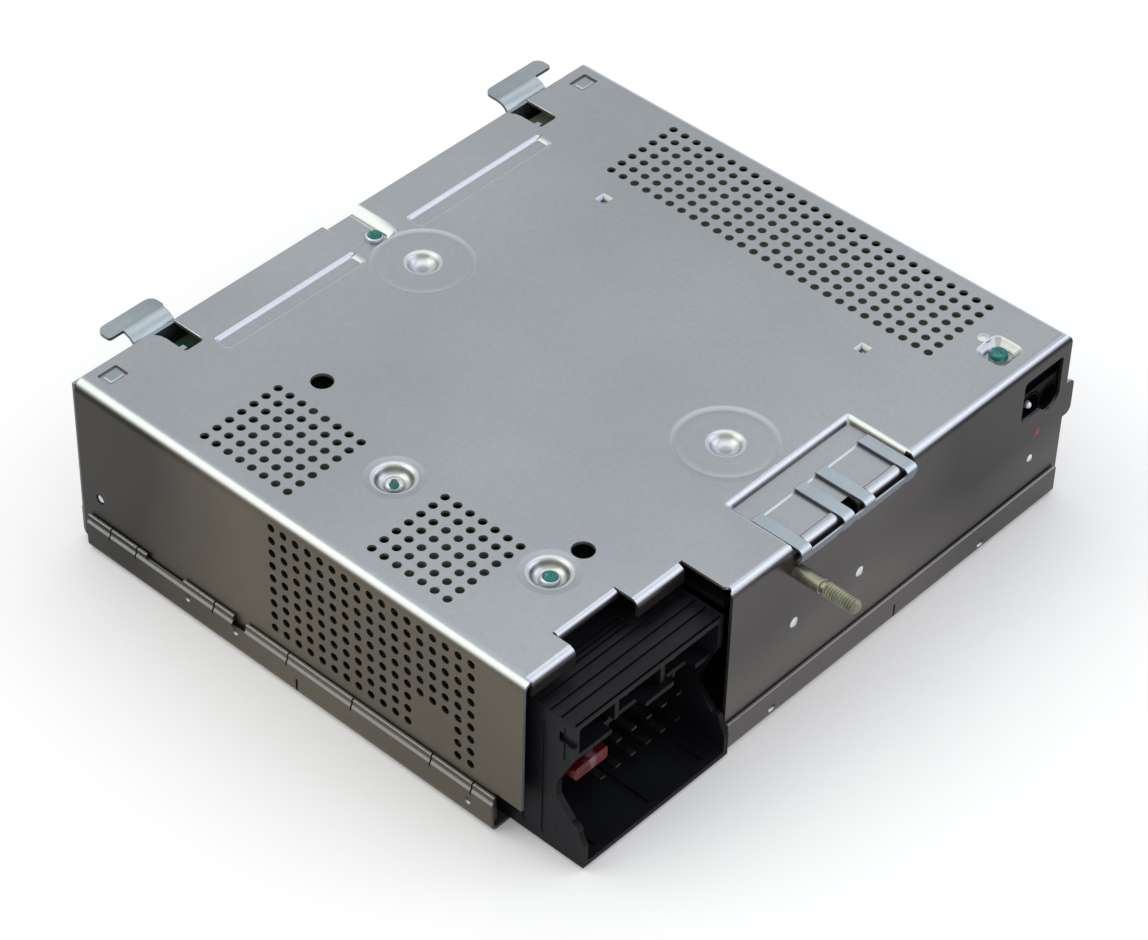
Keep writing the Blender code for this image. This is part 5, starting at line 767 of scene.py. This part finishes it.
for x, y in hook["tabPlates"]:
    weld(hookFrame,
         drawUp("tabPlate", (5.6, 4.1), ((0, 0), (0.7, 0), (0.85, -0.15)), (x, y, hook["top"]), 0.35),
         drawUp("tabBoss", (4.5, 3.1), ((0, 0), (1.05, 0), (1.2, -0.2), (1.24, -0.6)),
                (x + 0.15, y - 0.2, 50.1), 0.4))
foot, height, end = hook["middleLine"]
weld(hookFrame, foldStrip("middleTab", ((front, foot), (front, height), (end, height)), (bend,), 0,
                          hook["middleTab"], sheet))
cut(hookFrame, addSlab("pocketGap", *hook["pocketGap"]))
weld(hookFrame, *addSlabs("sideFlange", hook["flanges"]))
# front wall, which the photograph doesn't show: two pressed fields, a row of slots and four holes
toFront, fieldHeight = (-90, 0, 0), hook["fieldHeight"]
for x in hook["fields"]:
    weld(hookFrame,
         drawUp("fieldBody", (60.0, 22.0), ((0, -0.8), (0.8, 0.4)), (x, 80.0, fieldHeight), 2.5, toFront))
    cut(hookFrame, drawUp("field", (58.0, 20.0), ((0, -0.6), (0.7, 0.2), (1.2, 0.3)), (x, 80.85, fieldHeight),
                          2.0, toFront))
slot = drawUp("frontSlot", hook["slot"], ((0, 0), (4, 0)), hook["slotStart"], 0.8, toFront)
cut(hookFrame, repeat(slot, hook["slotCounts"], hook["slotSteps"]))
for x, z in hook["holes"]:
    cut(hookFrame,
        drawUp("frontHole", (hook["hole"], hook["hole"]), ((0, 0), (4, 0)), (x, 79.0, z), None, toFront, 20))
roundOff(hookFrame, 0.18, 2, 50)
dress(hookFrame, hookMetal, "tuner_box", "blue_zinc", "front_frame")
print("hook frame done", len(hookFrame.data.polygons))

# plug header: black moulding with ribs, cut-back sides, shelf and three upper chambers
header = {
    "left": -86.95, "right": -37.0, "top": 43.9, "middle": -61.975, "back": -56.0,
    "side": ((-53.5, 1.1), (-53.5, 43.9), (-79.3, 43.9), (-79.3, 34.5), (-74.4, 23.2), (-74.2, 22.3),
             (-74.2, 18.6), (-78.9, 13.4), (-79.6, 13.5), (-80.6, 13.2), (-81.3, 12.3), (-81.3, 11.2),
             (-83.0, 8.1), (-83.0, 1.1)), "lowerSize": (46.3, 27.6), "lowerHeight": 16.7,
    "chambers": ((-77.85, 14.55), (-62.2, 14.1), (-46.35, 14.7)), "chamberHeight": 37.0, "chamberTall": 10.2,
    "setbacks": (((-85.15, -90, 29.9), (-38.8, -77.5, 42.1)), ((-72.5, -90, 29.5), (-61.0, -74.9, 32.6)),
                 ((-51.5, -90, 29.5), (-44.0, -74.9, 32.6)), ((-72.0, -90, 31.9), (-52.0, -76.5, 42.1))),
    "grooves": ((-61.975, 48.6, ((-78.9, 0.35), (-75.2, 1.4), (-71.9, 1.4), (-68.3, 1.4))),
                (-63.7, 19.0, ((-65.6, 0.7), (-64.1, 0.7), (-62.6, 0.7)))), "grooveDepth": 0.5,
    "sideGrooves": ((-76.6, 10.0, 37.0), (-70.4, 36.0, 22.0), (-64.5, 36.0, 22.0)),
    "latchWindow": (-86.0, -77.0, 38.6), "keyRibs": (-79.5, -70.7, -58.2, -48.0, -41.0),
    "floorRibs": (-80.5, -62.0, -43.5),
}
toRear, toLeft, back = (90, 0, 0), (0, -90, 0), header["back"]
headerBody = drawPrism("headerBody", header["side"], 0, (header["left"], header["right"]))
cut(headerBody, drawUp("lowerChamber", header["lowerSize"], ((0, -0.15), (23.0, 0), (23.6, 0.25), (40, 0.5)),
                       (header["middle"], back, header["lowerHeight"]), 0.8, toRear))
for x, width in header["chambers"]:
    cut(headerBody,
        drawUp("chamber", (width, header["chamberTall"]), ((0, 0), (22.4, 0), (23.0, 0.3), (40, 0.4)),
               (x, back, header["chamberHeight"]), 0.6, toRear))
cut(headerBody, *addSlabs("setback", header["setbacks"]))
depth = header["grooveDepth"]
for x, length, grooves in header["grooves"]:
    for y, width in grooves:
        cut(headerBody, drawUp("topGroove", (length, width), ((0, 0), (depth, 0.15), (depth + 0.5, 0.25)),
                               (x, y, header["top"] - depth), 0.15))
for y, height, middle in header["sideGrooves"]:
    cut(headerBody, drawUp("sideGroove", (height, 0.9), ((0, 0), (0.25, 0.1), (0.7, 0.15)),
                           (header["left"] + 0.25, y, middle), 0.2, toLeft))
# a latch window near the mouth on the left side
cut(headerBody, drawUp("latchWindow", (3.0, 4.6), ((0, 0), (3, 0)), header["latchWindow"], 0.3, toLeft))
for x in header["keyRibs"]:
    # keying ribs under the roof of the lower chamber
    weld(headerBody, addSlab("keyRib", (x - 0.5, -74.5, 28.6), (x + 0.5, -56.5, 30.8)))
for x in header["floorRibs"]:
    weld(headerBody, addSlab("floorRib", (x - 0.6, -81.0, 2.2), (x + 0.6, -60.0, 3.5)))
roundOff(headerBody, 0.22, 2, 40)
dress(headerBody, blackPlastic, "tuner_box", "black_plastic", "connector_housing")
print("header done", len(headerBody.data.polygons))

# insulators and contacts inside it
contacts = {
    "powerBody": ((-84.85, -59.2, 3.2), (-39.1, -54.5, 30.2)),
    "fuseHolder": ((-84.85, -67.7, 22.2), (-72.2, -57.2, 28.2)),
    "fuseSlots": (((-83.5, -70, 24.55), (-79.9, -60.2, 25.85)), ((-77.6, -70, 24.55), (-74.0, -60.2, 25.85))),
    "powerFirst": -69.0, "powerPitch": 5.2, "powerRows": (9.5, 18.0), "collarStart": -58.4,
    "blade": ((-1.0, -72.5, -0.4), (1.0, -58.4, 0.4)), "bladeTip": 0.28,
    "signalBody": ((-85.1, -53.2, 32.2), (-38.85, -51.4, 41.8)),
    "inserts": (((-84.85, -59.2, 32.2), (-70.9, -52.3, 41.8)), ((-68.95, -59.2, 32.2), (-55.4, -52.3, 41.8)),
                ((-53.45, -59.2, 32.2), (-39.1, -52.3, 41.8))),
    "pin": ((-0.3, -70.0, -0.3), (0.3, -58.6, 0.3)), "signalPitch": 2.8, "signalRows": (35.0, 39.0),
}
powerPlaces = [(contacts["powerFirst"] + contacts["powerPitch"] * number, z)
               for z in contacts["powerRows"] for number in range(6)]
powerInsulator = addSlab("powerInsulator", *contacts["powerBody"])
weld(powerInsulator, addSlab("fuseHolder", *contacts["fuseHolder"]))
cut(powerInsulator, *addSlabs("fuseSlot", contacts["fuseSlots"]))
for x, z in powerPlaces:
    weld(powerInsulator, drawUp("bladeCollar", (3.6, 2.4), ((0, 0), (1.6, 0), (1.9, -0.3)),
                                (x, contacts["collarStart"], z), 0.5, toRear))
roundOff(powerInsulator, 0.2, 2, 40)
dress(powerInsulator, blackPlastic, "tuner_box", "black_plastic", "power_contact_block")
blade = addSlab("blade", *contacts["blade"])
bevelEdges(blade, edgeAt(y=(-73, -72)), contacts["bladeTip"], 2)
powerBlades = gather("powerBlades", [copyTo(blade, "powerBlade", (x, 0, z)) for x, z in powerPlaces])
bpy.data.objects.remove(blade)
# painted shade: the near-black blade colour stands in for the mouth's shade
dress(powerBlades, shadedBladeMetal, "tuner_box", "tinned_contact")

signalInsulator = addSlab("signalInsulator", *contacts["signalBody"])
weld(signalInsulator, *addSlabs("insert", contacts["inserts"]))
roundOff(signalInsulator, 0.25, 2, 40)
dress(signalInsulator, blackPlastic, "tuner_box", "black_plastic", "signal_contact_block")
pin = addSlab("pin", *contacts["pin"])
pick(pin, lambda face: face.normal.y < -0.9)
bpy.ops.mesh.extrude_region_move(TRANSFORM_OT_translate={"value": (0, -0.5 * mm, 0)})
bpy.ops.transform.resize(value=(0.45, 1, 0.45))
bpy.ops.object.mode_set(mode="OBJECT")
signalPins = gather("signalPins", [
    copyTo(pin, "signalPin", (middle + contacts["signalPitch"] * (number - 1.5), 0, z))
    for middle, width in header["chambers"] for z in contacts["signalRows"] for number in range(4)])
bpy.data.objects.remove(pin)
dress(signalPins, tinMetal, "tuner_box", "tinned_contact")
print("contacts done")

# blade fuse: clear red grip with a painted highlight patch on its face, riding out with its blades
fuse = {
    "low": (-84.2, -77.2, 23.3), "high": (-73.3, -68.0, 27.1), "corner": 0.9, "rim": 1.1, "faceDepth": 0.45,
    "red": ((0.050, 0.001, 0.003), (0.125, 0.003, 0.006)), "faceHighlight": (0.17, 0.09, 0.12),
    "cuts": (((-83.5, -73.8, 24.55), (-74.0, -60, 25.85)), ((-82.2, -75.4, 26.7), (-75.3, -70.0, 28)),
             ((-82.2, -75.4, 22), (-75.3, -70.0, 23.7))),
}
fuseMaterial, tree, shader, place = startMaterial("fuseRed")
smudge, across = addNoise(tree, place, 260.0), splitUp(tree, place)["X"]
# painted highlight: a pale patch on the grip's front, masked by place and noise
paintedHighlightPatch = addMath(tree, "MULTIPLY", addRange(tree, across, -0.0812, -0.0802),
                    addRange(tree, across, -0.0762, -0.0772), addRange(tree, smudge, 0.46, 0.60))
red = addRamp(tree, smudge, (0.35, fuse["red"][0]), (0.65, fuse["red"][1]))
feed(tree, shader, {"Base Color": addMix(tree, paintedHighlightPatch, red, fuse["faceHighlight"]), "Roughness": 0.3,
                    "Specular IOR Level": 0.2})
addBump(tree, shader, smudge, 0.2, 0.05)
fuseGrip = addSlab("fuseGrip", fuse["low"], fuse["high"])
bevelEdges(fuseGrip, lambda edge: abs(edge.verts[0].co.y - edge.verts[1].co.y) > mm, fuse["corner"], 4)
pick(fuseGrip, lambda face: face.normal.y < -0.9)
bpy.ops.mesh.inset(thickness=fuse["rim"] * mm)
bpy.ops.transform.translate(value=(0, fuse["faceDepth"] * mm, 0))
bpy.ops.object.mode_set(mode="OBJECT")
cut(fuseGrip, *addSlabs("gripCut", fuse["cuts"]))
roundOff(fuseGrip, 0.3, 3, 40)
dress(fuseGrip, fuseMaterial, "fuse", "red_fuse_plastic", "fuse_body")

# twin aerial socket
socket = {
    "low": (72.9, -80.0, 31.0), "high": (87.7, -62.5, 46.0), "column": (73.1, -71.8), "columnSize": 6.8,
    "screwBore": 3.5, "setback": (-78.6, 41.2), "collars": ((77.0, 36.2), (84.2, 35.2)), "bore": 3.2,
    "tip": ((0, -0.4), (1.05, -0.4), (1.05, 4.9), (0.85, 5.5), (0.45, 5.85), (0, 5.95)),
    "tipPlace": (77.0, -74.5, 36.2),
}

socketBody = addSlab("socketBody", socket["low"], socket["high"])
weld(socketBody,
     drawRound("screwColumn", socket["columnSize"], ((0, 0), (16.5, 0)), (*socket["column"], 31.8), sides=28))
cut(socketBody, addSlab("faceSetback", (72.0, -90, socket["setback"][1]), (90, socket["setback"][0], 50)),
    drawRound("columnBore", socket["screwBore"], ((0, 0), (9, 0)), (*socket["column"], 41.8), sides=16))
bore = 2 * socket["bore"]
for x, z in socket["collars"]:
    cut(socketBody, drawRound("collarRelief", bore + 1.8, ((0, 0), (1.5, 0)), (x, -79.3, z), toRear, 36))
    weld(socketBody,
         drawRound("collar", bore + 1.0, ((0, 0), (2.0, 0), (2.15, -0.15)), (x, -78.0, z), toRear, 36))
    cut(socketBody,
        drawRound("bore", bore, ((0, 0), (9.4, 0), (9.9, 0.25), (11.5, 0.3)), (x, -70.2, z), toRear, 36))
roundOff(socketBody, 0.15, 2, 45)
dress(socketBody, socketPlastic, "tuner_box", "black_plastic", "aerial_socket")
aerialTip = spinUp("aerialTip", socket["tip"], socket["tipPlace"], toRear, 24)
dress(aerialTip, brightMetal, "tuner_box", "tinned_contact")

# earth stud with its thread, and the collar behind the flange
stud = {"place": (-13.4, -81.1, 43.0), "turns": 11, "threadStart": 9.45, "threadPitch": 0.75, "root": 1.7,
        "crest": 1.95}
studOutline = [(0, -2.6), (3.6, -2.6), (3.6, -1.1), (2.0, -1.1), (2.0, 7.7), (1.85, 7.85), (1.6, 7.9),
               (1.6, 9.0), (1.85, 9.05), (2.0, 9.2)]
for number in range(stud["turns"]):
    height = stud["threadStart"] + stud["threadPitch"] * number
    studOutline += [(stud["root"], height), (stud["crest"], height + stud["threadPitch"] / 2)]
studOutline += [(1.7, 17.8), (1.4, 18.2), (0, 18.2)]
studPiece = spinUp("earthStudTurned", studOutline, stud["place"], toRear, 32)
dress(studPiece, studMetal, "tuner_box", "yellow_zinc", "earth_stud", angle=40)

# spring clip: four fingers over the rear edge and one leaning bar
clip = {
    "fingers": (-12.3, 3.2, 10.8, 26.3), "width": 3.6, "sheet": 0.5, "bends": (1.1, 1.6), "corner": 0.9,
    "line": ((-66.9, 49.95), (-67.5, 50.3), (-83.4, 50.3), (-82.0, 45.5)), "tipRear": -67.2,
    "footNotches": (0.7, 6.1, 23.9),
}
fingers, half = clip["fingers"], clip["width"] / 2
clipPiece = foldStrip("springClip", clip["line"], clip["bends"], 0, (fingers[0] - half, fingers[-1] + half),
                      clip["sheet"], -1, 5)
for here, there in zip(fingers, fingers[1:]):
    cut(clipPiece, addSlab("fingerGap", (here + half, -90, 48.7), (there - half, -60, 55)))
for x in clip["footNotches"]:
    cut(clipPiece, drawUp("footNotch", (2.0, 4.0), ((0, 0), (1.6, 0)), (x, -82.2, 44.6), 0.6))
bevelEdges(clipPiece, lambda edge: all(end.co.y > clip["tipRear"] * mm for end in edge.verts)
           and edge.calc_length() < 0.7 * mm
           and abs(edge.verts[0].co.x - edge.verts[1].co.x) < 0.01 * mm, clip["corner"], 3)
roundOff(clipPiece, 0.13, 2, 50)
dress(clipPiece, clipMetal, "spring_clip", "blue_zinc", "spring_clip")
print("socket, stud and clip done")

# cover screws: place, length, replaced node, then the reach, foot and shift of their green sealing paint
screws = {
    "LeftFront": ((-61.85, 1.4, 48.98), 12.0, "cover_screw_left_front", 1.3, 0.9, (-0.75, -0.7)),
    "LeftRear": ((-60.05, -46.4, 48.98), 12.0, "cover_screw_left_rear", 1.95, 0.9, (0.1, -0.12)),
    "Front": ((-0.15, 69.6, 49.55), 12.0, "cover_screw_front", 1.95, 0.9, (0.1, -0.12)),
    "Rear": ((73.1, -71.8, 49.55), 5.0, "cover_screw_rear", 2.45, 0.35, (0, 0)),
}
paintMaterial, tree, shader, place = startMaterial("sealingPaint")
blot = addNoise(tree, place, 520.0)
green = addRamp(tree, blot, (0.30, (0.002, 0.055, 0.048)), (0.60, (0.006, 0.160, 0.140)),
                (0.80, (0.20, 0.40, 0.35)))
feed(tree, shader, {"Base Color": green, "Roughness": 0.36, "Specular IOR Level": 0.3})
addBump(tree, shader, blot, 0.4, 0.08)
for name, ((x, y, z), length, node, reach, foot, shift) in screws.items():
    headOutline = ((0, -length), (1.1, -length), (1.4, 0.4 - length), (1.4, 0), (2.35, 0), (2.35, 0.55),
                   (2.25, 0.85), (1.95, 1.08), (1.5, 1.18), (0, 1.2))
    head = spinUp("screw" + name, headOutline, (x, y, z), steps=36)
    cut(head, drawRound("driveRecess", 1.9, ((0, 0), (2, 0)), (x, y, z + 0.5), sides=6))
    dress(head, brightMetal, "tuner_box", "green_sealed_screw", node)
    paintOutline = ((0, foot), (reach, foot), (reach, foot + 0.22), (reach - 0.3, 1.3), (reach * 0.6, 1.38),
                    (0.45, 1.3), (0, 1.24))
    paint = spinUp("seal" + name, paintOutline, (x + shift[0], y + shift[1], z), steps=36)
    dress(paint, paintMaterial, "tuner_box", "green_sealed_screw")

# small things: rivets behind the flange's holes, pale as a painted highlight inside the holes, the side
# rivet, and the red check dot
flangeRivet = ((0, 0), (1.5, 0), (1.5, 0.95), (1.25, 1.12), (0, 1.18))
rivets = [(flangeRivet, (x, -79.95, z), toRear) for x, z in cover["flangeHoles"]] + [
    (((0, -0.3), (1.05, -0.3), (1.05, 0.02), (0.75, 0.22), (0.35, 0.32), (0, 0.35)), (78.6, -81.1, 18.6),
     toRear),
    (((0, 0), (1.35, 0), (1.35, 0.5), (1.0, 0.85), (0, 0.95)), (-89.8, 73.9, 17.4), toLeft),
]
peenedRivets = gather("peenedRivets", [spinUp("rivet", *rivet, 24) for rivet in rivets])
dress(peenedRivets, rivetAndHoleHighlightMetal, "tuner_box", "plated_steel")
dotMaterial, tree, shader, place = startMaterial("checkPaint")
dotRed = addRamp(tree, addNoise(tree, place, 900.0, 2.0), (0.3, (0.10, 0.012, 0.006)),
                 (0.7, (0.18, 0.022, 0.012)))
feed(tree, shader, {"Base Color": dotRed, "Roughness": 0.5})
dotOutline = ((0, -0.05), (1.3, -0.05), (1.15, 0.04), (0.5, 0.08), (0, 0.09))
checkDot = spinUp("checkDot", dotOutline, (80.2, -81.1, 26.4), toRear, 20)
dress(checkDot, dotMaterial, "tuner_box", "plated_steel")

# finishes for the inner parts, which show through the vents, slots and the plug's mouth
boardMaterial, tree, shader, place = startMaterial("boardMask")
tracks = addNode(tree, "TexVoronoi", {"Vector": place, "Scale": 420.0}, distance="CHEBYCHEV")
copper = addRange(tree, tracks.outputs["Distance"], 0.25, 0.34)
green = addRamp(tree, addNoise(tree, place, 120.0, 2.0), (0.35, (0.003, 0.020, 0.009)),
                (0.65, (0.006, 0.040, 0.016)))
across = splitUp(tree, place)
# painted shade: the board goes nearly black under the cover's corner beside the header
shade = addMath(tree, "MULTIPLY", addRange(tree, across["X"], -0.024, -0.028),
                addRange(tree, across["Y"], -0.054, -0.058))
tone = addMix(tree, copper, green, (0.010, 0.060, 0.026))
tone = addMix(tree, shade, tone, (0.002, 0.003, 0.002))
tone = addMix(tree, addRange(tree, across["X"], 0.052, 0.060), tone, (0.15, 0.17, 0.13))  # tinned
tone = addMix(tree, addRange(tree, facingOf(tree)["Z"], 0.5, 0.2), tone, (0.006, 0.008, 0.006))  # painted shade on upright faces
feed(tree, shader, {"Base Color": tone, "Roughness": 0.34})
addBump(tree, shader, copper, 0.3, 0.04)
innerFinishes = (
    (boardMaterial, ("main_board",)), (sinkMetal, ("heat_sink",)),
    (tinMetal, ("fuse_blades", "tuner_can", "tuner_can_lid", "crystal_can")),
    (postMetal, ("post_left_front", "post_left_rear", "post_front")),
    (brightMetal, ("aerial_pin_left", "aerial_pin_right", "spacer_left_front", "spacer_left_rear",
                   "spacer_front", "amplifier_clamp", "clamp_screw")),
    (chipBlack, ("amplifier_chip", "processor_chip", "sound_chip", "memory_chip", "tuner_chip", "power_choke",
                 "voltage_regulator")),
    (sleeve, ("capacitor_supply", "capacitor_left", "capacitor_middle", "capacitor_right")),
)
for material, names in innerFinishes:
    for name in names:
        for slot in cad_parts[name].material_slots:
            slot.material = material
print("inner finishes done")

# camera, light and floor
camera = bpy.data.cameras.new("photoView")
camera.lens = 118.0376
camera.sensor_width = 36
cameraObject = bpy.data.objects.new("photoView", camera)
cameraObject.location = (-0.52055573, -0.46031308, 0.63995059)
cameraObject.rotation_euler = (0.83780647, -0.02245249, -0.82617237)
bpy.context.scene.collection.objects.link(cameraObject)
bpy.context.scene.camera = cameraObject


def addLamp(name, place, size, power, colour=(1, 1, 1)):
    lamp = bpy.data.lights.new(name, "AREA")
    lamp.shape = "RECTANGLE"
    lamp.size, lamp.size_y = size
    lamp.energy = power
    lamp.color = colour
    lampObject = bpy.data.objects.new(name, lamp)
    lampObject.location = place
    lampObject.rotation_euler = (Vector((0, 0, 0.03)) - Vector(place)).to_track_quat("-Z", "Y").to_euler()
    bpy.context.scene.collection.objects.link(lampObject)


addLamp("ceilingLight", (0.25, 0.3, 1.5), (1.6, 1.6), 7.0)
addLamp("windowRight", (0.85, -1.0, 0.75), (1.5, 1.2), 7.0, (0.93, 0.95, 1.0))
addLamp("windowLeft", (-0.78, 0.78, 1.10), (1.3, 1.2), 7.5, (1.0, 0.99, 0.95))

bpy.ops.mesh.primitive_plane_add(size=4)
floor = bpy.context.object
floor.name = "floor"
floorMaterial, tree, shader, place = startMaterial("paleFloor")
glow = addMath(tree, "MULTIPLY", seenBy(tree, "Is Camera Ray", "Is Glossy Ray"), 0.13)
feed(tree, shader, {"Base Color": (0.90, 0.90, 0.90), "Roughness": 0.9, "Emission Color": (1, 1, 1),
                    "Emission Strength": glow})
floor.data.materials.append(floorMaterial)

world = bpy.data.worlds.new("studio")
bpy.context.scene.world = world
world.use_nodes = True
tree = world.node_tree
for node in list(tree.nodes):
    tree.nodes.remove(node)
soft = addNode(tree, "Background", {"Color": (0.97, 0.985, 1.0), "Strength": 0.55})
white = addNode(tree, "Background", {"Color": (1, 1, 1), "Strength": 1.0})
seen = seenBy(tree, "Is Camera Ray", "Is Glossy Ray", "Is Transmission Ray")
blend = addNode(tree, "MixShader",
                {"Fac": seen, 1: soft.outputs["Background"], 2: white.outputs["Background"]})
addNode(tree, "OutputWorld", {"Surface": blend.outputs["Shader"]})
bpy.context.scene.view_settings.view_transform = "Standard"
